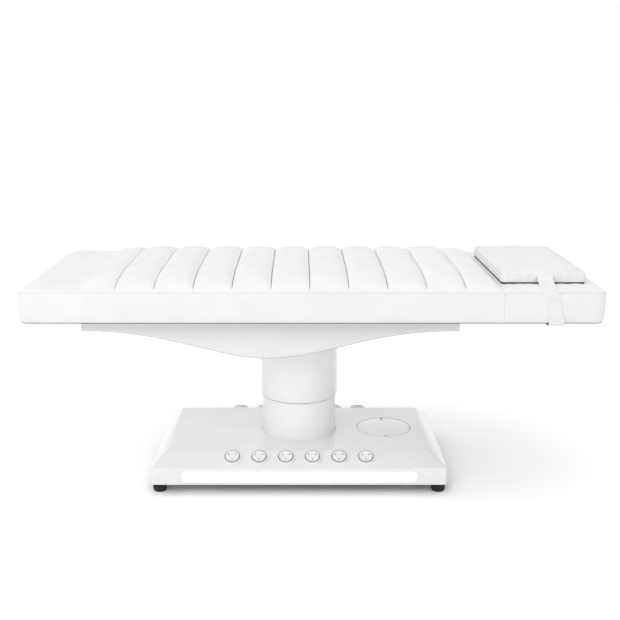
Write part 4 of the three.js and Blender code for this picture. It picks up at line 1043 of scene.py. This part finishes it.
def base_shell():
    piece = block("base_shell", PEDESTAL_X - COVER_HALF_LENGTH, PEDESTAL_X + COVER_HALF_LENGTH,
                  -COVER_HALF_DEPTH, COVER_HALF_DEPTH, COVER_BOTTOM, SKIRT_TOP)
    pick(piece, "FACE", lambda middle, normal: normal.z > 0.9)
    extrude(z=COVER_TOP - SKIRT_TOP)
    bpy.ops.transform.resize(
        value=(COVER_TOP_LENGTH / COVER_HALF_LENGTH / 2, COVER_TOP_DEPTH / COVER_HALF_DEPTH / 2, 1),
        center_override=(PEDESTAL_X * MM, 0, COVER_TOP * MM))
    pick(piece, "FACE", lambda middle, normal: normal.z < -0.9)
    bpy.ops.mesh.delete(type="FACE")
    bevel_edges(piece, COVER_CORNER, 8, lambda middle, along: abs(along.z) > 5)
    bevel_edges(piece, COVER_EDGE, 4, lambda middle, along: abs(along.z) < 0.01
                and min(abs(middle.z - SKIRT_TOP), abs(middle.z - COVER_TOP)) < 0.1)
    thicken(piece, COVER_WALL, use_even_offset=True)
    return piece


def slope_place(x, side):
    """The place of a button: its own z = 0 lies on the slope's outer face."""
    turn = Matrix.Rotation(math.pi, 4, "Z") if side > 0 else Matrix.Identity(4)
    tilt = Matrix.Translation((0, -BUTTON_Y * MM, BUTTON_Z * MM)) @ Matrix.Rotation(SLOPE_ANGLE, 4, "X")
    along = -x if side > 0 else x
    return Matrix.Translation((PEDESTAL_X * MM, 0, 0)) @ turn @ tilt @ Matrix.Translation((along * MM, 0, 0))


button_xs = [(k - 2.5) * BUTTON_PITCH for k in range(6)]
through = (COVER_TOP - 12, COVER_TOP + 5)
base = base_shell()
cover_end = PEDESTAL_X - COVER_HALF_LENGTH
cut_away(base, [
    rod("cutter", TUBE_HOLE, *through, PEDESTAL_X, 0, 128),
    rod("cutter", HATCH_RADIUS + 1.6, *through, HATCH_X, HATCH_Y, 128),
    front_plate("cutter", LIGHT_LENGTH + 0.6, LIGHT_HEIGHT + 0.6, -6, 6),
    block("cutter", cover_end - 5, cover_end + 8, *INLET_Y, *INLET_Z),
] + [placed(rod("cutter", BEZEL_RADIUS + 0.3, -9, 5), slope_place(x, side))
     for side in (-1, 1) for x in button_xs])
dress(base, "base", cover_gloss, "gloss_cover", "base_cover", angle=30)


def hatch_ring(name, radius, bore, z0, z1, material, slot):
    ring = rod(name, radius, z0, z1, HATCH_X, HATCH_Y, 128)
    cut_away(ring, [rod("cutter", bore, 120, 150, HATCH_X, HATCH_Y, 128)])
    dress(ring, "base", material, slot)


hatch_ring("hatch_ledge", HATCH_RADIUS + 7.5, HATCH_RADIUS - 15, 131.2, COVER_TOP - COVER_WALL - 0.1,
           cover_gloss, "gloss_cover")
hatch_ring("hatch_gasket", HATCH_RADIUS + 1.5, HATCH_RADIUS - 0.2, COVER_TOP - COVER_WALL, COVER_TOP - 0.1,
           gasket_rubber, "dark_plastic")
dress(turned("hatch_disc", [
    (HATCH_RADIUS - 0.3, COVER_TOP - HATCH_THICK), (HATCH_RADIUS - 0.3, COVER_TOP - 0.6),
    (HATCH_RADIUS - 0.5, COVER_TOP - 0.2), (HATCH_RADIUS - 1, COVER_TOP)], 128, HATCH_X, HATCH_Y),
    "base", cover_gloss, "gloss_cover", "hatch_cover")
for name, side in (("front", -1), ("rear", 1)):
    dress(turned("hatch_screw_head_" + name, [(radius, COVER_TOP + rise) for radius, rise in (
        (2.5, -11.7), (2.5, 0.3), (4, 0.3), (4, 1.1), (3.4, 1.9), (2.2, 2.3), (1.6, 2.3), (1.6, 1.2))],
        32, HATCH_X, HATCH_Y + side * HATCH_SCREW_Y),
        "base", steel, "bare_steel", "hatch_screw_" + name)


# Light strip

lens = front_plate("light_lens", LIGHT_LENGTH, LIGHT_HEIGHT, 0, 4.2)
bevel_edges(lens, 0.9, 3, lambda middle, along: middle.y < 0.1 - COVER_HALF_DEPTH)
dress(lens, "base", opal, "light", "light_diffuser")
dress(front_plate("light_flange", LIGHT_LENGTH + 10, LIGHT_HEIGHT + 10, 4.3, 5.8), "base", opal, "light")


# Foot buttons

def shaft_bore(z0, z1, x=0):
    return rod("cutter", SHAFT_BORE, z0, z1, x, 0, 32)


def bezel():
    """A raised ring with a rounded rim and a bore for the cap."""
    outer, bore, proud = BEZEL_RADIUS, BEZEL_BORE, BEZEL_PROUD
    return cut_away(turned("bezel", [
        (outer, -4.8), (outer, proud - 2.6), (outer - 0.4, proud - 1.4), (outer - 1.2, proud - 0.5),
        (outer - 2.4, proud), (bore + 1.0, proud), (bore + 0.3, proud - 0.3), (bore, proud - 1.0),
        (bore, -3.4)], 96), [shaft_bore(-12, 12)])


def button_cap():
    """A cap on its shaft, with a step for the dark ring that paints the gap's shade, a slightly dished face
    and three grooves.
    """
    radius, proud = CAP_RADIUS, CAP_PROUD
    return cut_away(turned("cap", [
        (SHAFT_RADIUS, -22), (SHAFT_RADIUS, 2.2), (radius - 0.6, 2.2), (radius, 2.8),
        (radius, proud - 1.9), (radius - 1.1, proud - 1.9), (radius - 1.1, proud - 0.3),
        (radius - 1.6, proud), (radius - 5, proud), (radius - 7, proud - 0.4)], 96), [
        placed(block("cutter", 2, 15, -0.55, 0.55, proud - 1.2, proud + 3),
               Matrix.Rotation(math.radians(angle), 4, "Z")) for angle in (90, 210, 330)])


def button_dots():
    """The dark parts of a button: three dots, and a ring round its rim that paints the shade of the gap
    round the cap.
    """
    made = [turned("dot", [(2.3, CAP_PROUD - 1.6), (2.3, CAP_PROUD - 0.3), (1.9, CAP_PROUD)], 24,
                   DOT_CIRCLE * math.cos(angle), DOT_CIRCLE * math.sin(angle))
            for angle in (math.radians(30 + 120 * k) for k in range(3))]
    # Painted shade: a dark ring round the cap's rim
    painted_shade_ring = rod("painted_shade_ring", CAP_RADIUS + 0.1, CAP_PROUD - 1.8, CAP_PROUD - 0.1, 0, 0, 96)
    made.append(cut_away(painted_shade_ring, [rod("cutter", CAP_RADIUS - 1.05, 0, 20, 0, 0, 96)]))
    return joined(made)


one_bezel, one_cap, dots = bezel(), button_cap(), button_dots()
for name, side in (("front", -1), ("rear", 1)):
    length, depth = STRIP_HALF
    middle = slope_place(0, side)
    plate = placed(block("strip_" + name, -length, length, -depth, depth, -9.8, -4.9), middle)
    rings = [copy_of(one_bezel, "ring", slope_place(x, side)) for x in button_xs]
    switches = [placed(cut_away(
        block("switch", x - SWITCH_HALF, x + SWITCH_HALF, -SWITCH_HALF, SWITCH_HALF, -25.8, -9.9),
        [shaft_bore(-30, 0, x)]), middle) for x in button_xs]
    cut_away(plate, [placed(shaft_bore(-15, 0), slope_place(x, side)) for x in button_xs])
    dress(joined([plate] + rings + switches), "base", button_white, "button_plastic", "switch_strip_" + name)
    for k, x in enumerate(button_xs, 1):
        # On the rear slope the strip is turned half round, so its first button is at the head end
        where, body = slope_place(-x if side > 0 else x, side), f"button_{name}_{k}"
        dress(copy_of(one_cap, f"cap_{name}_{k}", where), body, button_white, "button_plastic",
              f"foot_button_{name}_{k}")
        dress(copy_of(dots, f"dots_{name}_{k}", where), body, dark_moulded, "dark_plastic")
for one in (one_bezel, one_cap, dots):
    bpy.data.objects.remove(one)


# Feet

for (x, y), node in zip(FEET, ("foot_front", "foot_rear", "head_front", "head_rear")):
    dress(turned("foot_rubber_" + node, [
        (19.5, 0), (21.5, 0.8), (24.4, 8.5), (25, 10), (25, 19), (24.2, 21.5), (19, 27.6), (17.4, 29),
        (9, 29), (9, 28.2)], 64, x, y), "base", foot_rubber, "foot_rubber", "levelling_foot_" + node)
    dress(turned("foot_stud_" + node, [
        (11, 28.3), (12.4, 29), (12.4, 32.6), (11.6, 33.4), (7, 33.4), (7, 39.7)], 32, x, y),
        "base", steel, "bare_steel")


# Wave-shaped shell

def wave_shell():
    """A Bezier line from the foot over the low point to the head, drawn out into a bottom with
    upright walls, thickened, with an opening for the column."""
    foot, end = SHELL_X
    low_x, low_z = SHELL_LOW
    wave_start, wave_end = foot + 11, end - 5
    foot_span, head_span = low_x - wave_start, wave_end - low_x
    clear_selection()
    bpy.ops.curve.primitive_bezier_curve_add(location=(0, 0, 0))
    line = bpy.context.active_object
    line.data.splines[0].bezier_points.add(1)
    for point, (x, z, before, after) in zip(line.data.splines[0].bezier_points, (
            (wave_start, SHELL_END, 0, foot_span * 0.449),
            (low_x, low_z, foot_span * 0.249, head_span * 0.336),
            (wave_end, SHELL_END, head_span * 0.476, 0))):
        point.handle_left_type = point.handle_right_type = "FREE"
        for part, at in (("co", x), ("handle_left", x - before), ("handle_right", x + after)):
            setattr(point, part, (at * MM, -SHELL_HALF * MM, z * MM))
    line.data.resolution_u = 40
    line.data.dimensions = "3D"
    bpy.ops.object.convert(target="MESH")
    piece = started("wave_shell")
    for stop, flat in ((wave_start, foot - wave_start), (wave_end, end - wave_end)):
        pick(piece, "VERT", lambda at: abs(at.x - stop) < 0.1)
        extrude(x=flat)
    pick(piece, "EDGE", lambda middle, along: True)
    extrude(y=2 * SHELL_HALF)

    def at_side(middle):
        return abs(abs(middle.y) - SHELL_HALF) < 0.1

    pick(piece, "EDGE", lambda middle, along: at_side(middle)
         or abs(middle.x - foot) < 0.1 or abs(middle.x - end) < 0.1)
    extrude(z=20)
    bpy.ops.transform.resize(value=(1, 1, 0), center_override=(0, 0, SHELL_TOP * MM))
    bpy.ops.object.mode_set(mode="OBJECT")
    outwards(piece)
    bevel_edges(piece, SHELL_BEVEL, 6, lambda middle, along: at_side(middle)
                and middle.z < SHELL_END + 1 and abs(along.x) > 0.5)
    thicken(piece, SHELL_WALL, use_even_offset=True)
    x0, x1, z0, z1 = PEDESTAL_X - OPENING_REACH, PEDESTAL_X + OPENING_REACH, 480, 568
    return cut_away(piece, [rod("cutter", OPENING_RADIUS, z0, z1, x, 0, 96) for x in (x0, x1)] + [
        block("cutter", x0, x1, -OPENING_RADIUS, OPENING_RADIUS, z0, z1)])


shell = dress(wave_shell(), "top", [shell_gloss, shell_edge_shade], "gloss_cover", "underside_shell", angle=30)
for face in shell.data.polygons:
    # Painted shade: the bevel faces between a side and the bottom that look down and out take a darker grey
    if 0.28 < abs(face.normal.y) < 0.72 and face.normal.z < -0.3:
        if abs(face.center.y) > (SHELL_HALF - SHELL_BEVEL - 0.5) * MM:
            face.material_index = 1


# Pieces that keep their own solid, by how their names start

for material, starts in {
        frame_black: ("chassis_", "column_carrier", "column_head", "top_rail_", "top_cross_"),
        steel: ("guide_post_", "lift_actuator_rod", "tilt_shaft", "tilt_actuator_rod", "hinge_arm_"),
        dark_moulded: ("control_box", "mains_inlet", "guide_glide", "lift_actuator_body",
                       "tilt_actuator_body"),
        carrier_metal: ("light_carrier",),
        plywood: ("main_board", "head_board")}.items():
    for name in nodes:
        if name.startswith(starts):
            nodes[name].data.materials.clear()
            nodes[name].data.materials.append(material)


# Stage, lights and camera

def two_looks(holder, kind, for_others, for_camera, output):
    """Ends a stage's nodes with one look for what is lit and one for what the camera sees,
    directly, in a reflection or through something."""
    seen = add(holder, "ShaderNodeLightPath")
    by_camera = seen.outputs["Is Camera Ray"]
    for ray in ("Is Glossy Ray", "Is Transmission Ray"):
        by_camera = add(holder, "ShaderNodeMath", {0: by_camera, 1: seen.outputs[ray]},
                        operation="MAXIMUM").outputs[0]
    others, camera = (add(holder, kind, look).outputs[0] for look in (for_others, for_camera))
    mixed = add(holder, "ShaderNodeMixShader", {0: by_camera, 1: others, 2: camera})
    add(holder, output, {"Surface": mixed.outputs[0]})


def studio_floor():
    clear_selection()
    bpy.ops.mesh.primitive_plane_add(size=120, location=(0, 0, -0.0002))
    floor = started("studio_floor")
    material = new_material("white_studio_floor")
    two_looks(material, "ShaderNodeBsdfDiffuse", {"Color": colour("#EDEDED")},
              {"Color": (1.26, 1.26, 1.26, 1)}, "ShaderNodeOutputMaterial")
    floor.data.materials.append(material)


def studio_world():
    world = bpy.data.worlds.new("pale_studio")
    bpy.context.scene.world = world
    world.use_nodes = True
    world.node_tree.nodes.clear()
    direction = add(world, "ShaderNodeTexCoord")
    split = add(world, "ShaderNodeSeparateXYZ", {"Vector": direction.outputs["Generated"]})
    level = 1.0
    # Left is brighter than right, the front brighter than the rear, and it grows brighter overhead
    for axis, start, low, high in (("X", -1.0, 0.8, 0.5), ("Y", -1.0, 1.27, 0.88), ("Z", 0.0, 0.89, 1.5)):
        part = add(world, "ShaderNodeMapRange", {
            "Value": split.outputs[axis], "From Min": start, "From Max": 1.0, "To Min": low, "To Max": high})
        level = add(world, "ShaderNodeMath", {0: level, 1: part.outputs["Result"]},
                    operation="MULTIPLY").outputs[0]
    two_looks(world, "ShaderNodeBackground", {"Color": (1, 1, 1, 1), "Strength": level},
              {"Color": (1, 1, 1, 1), "Strength": 1.0}, "ShaderNodeOutputWorld")


def soft_lamp(name, location, aim, size, watts):
    data = bpy.data.lights.new(name, "AREA")
    data.shape = "RECTANGLE"
    data.size, data.size_y = size
    data.energy = watts
    lamp = bpy.data.objects.new(name, data)
    bpy.context.scene.collection.objects.link(lamp)
    lamp.location = location
    lamp.rotation_euler = (Vector(aim) - Vector(location)).to_track_quat("-Z", "Y").to_euler()


studio_floor()
studio_world()
soft_lamp("key_lamp", (-1.2, -4.2, 3.4), (0.0, 0.0, 0.4), (2.6, 1.6), 25)
soft_lamp("strip_lamp", (-1.75, -4.1, 0.9), (-0.1, 0.0, 0.3), (0.3, 1.7), 10)

view = bpy.data.cameras.new("photo_view")
view.lens = 55.16
view.sensor_width = 36
view.shift_x = 0.0177
camera = bpy.data.objects.new("photo_view", view)
bpy.context.scene.collection.objects.link(camera)
camera.location = (-0.042, -3.4466, 1.4316)
camera.rotation_euler = (math.radians(90 - 13.52), 0, 0)
bpy.context.scene.camera = camera
bpy.context.scene.view_settings.view_transform = "Standard"
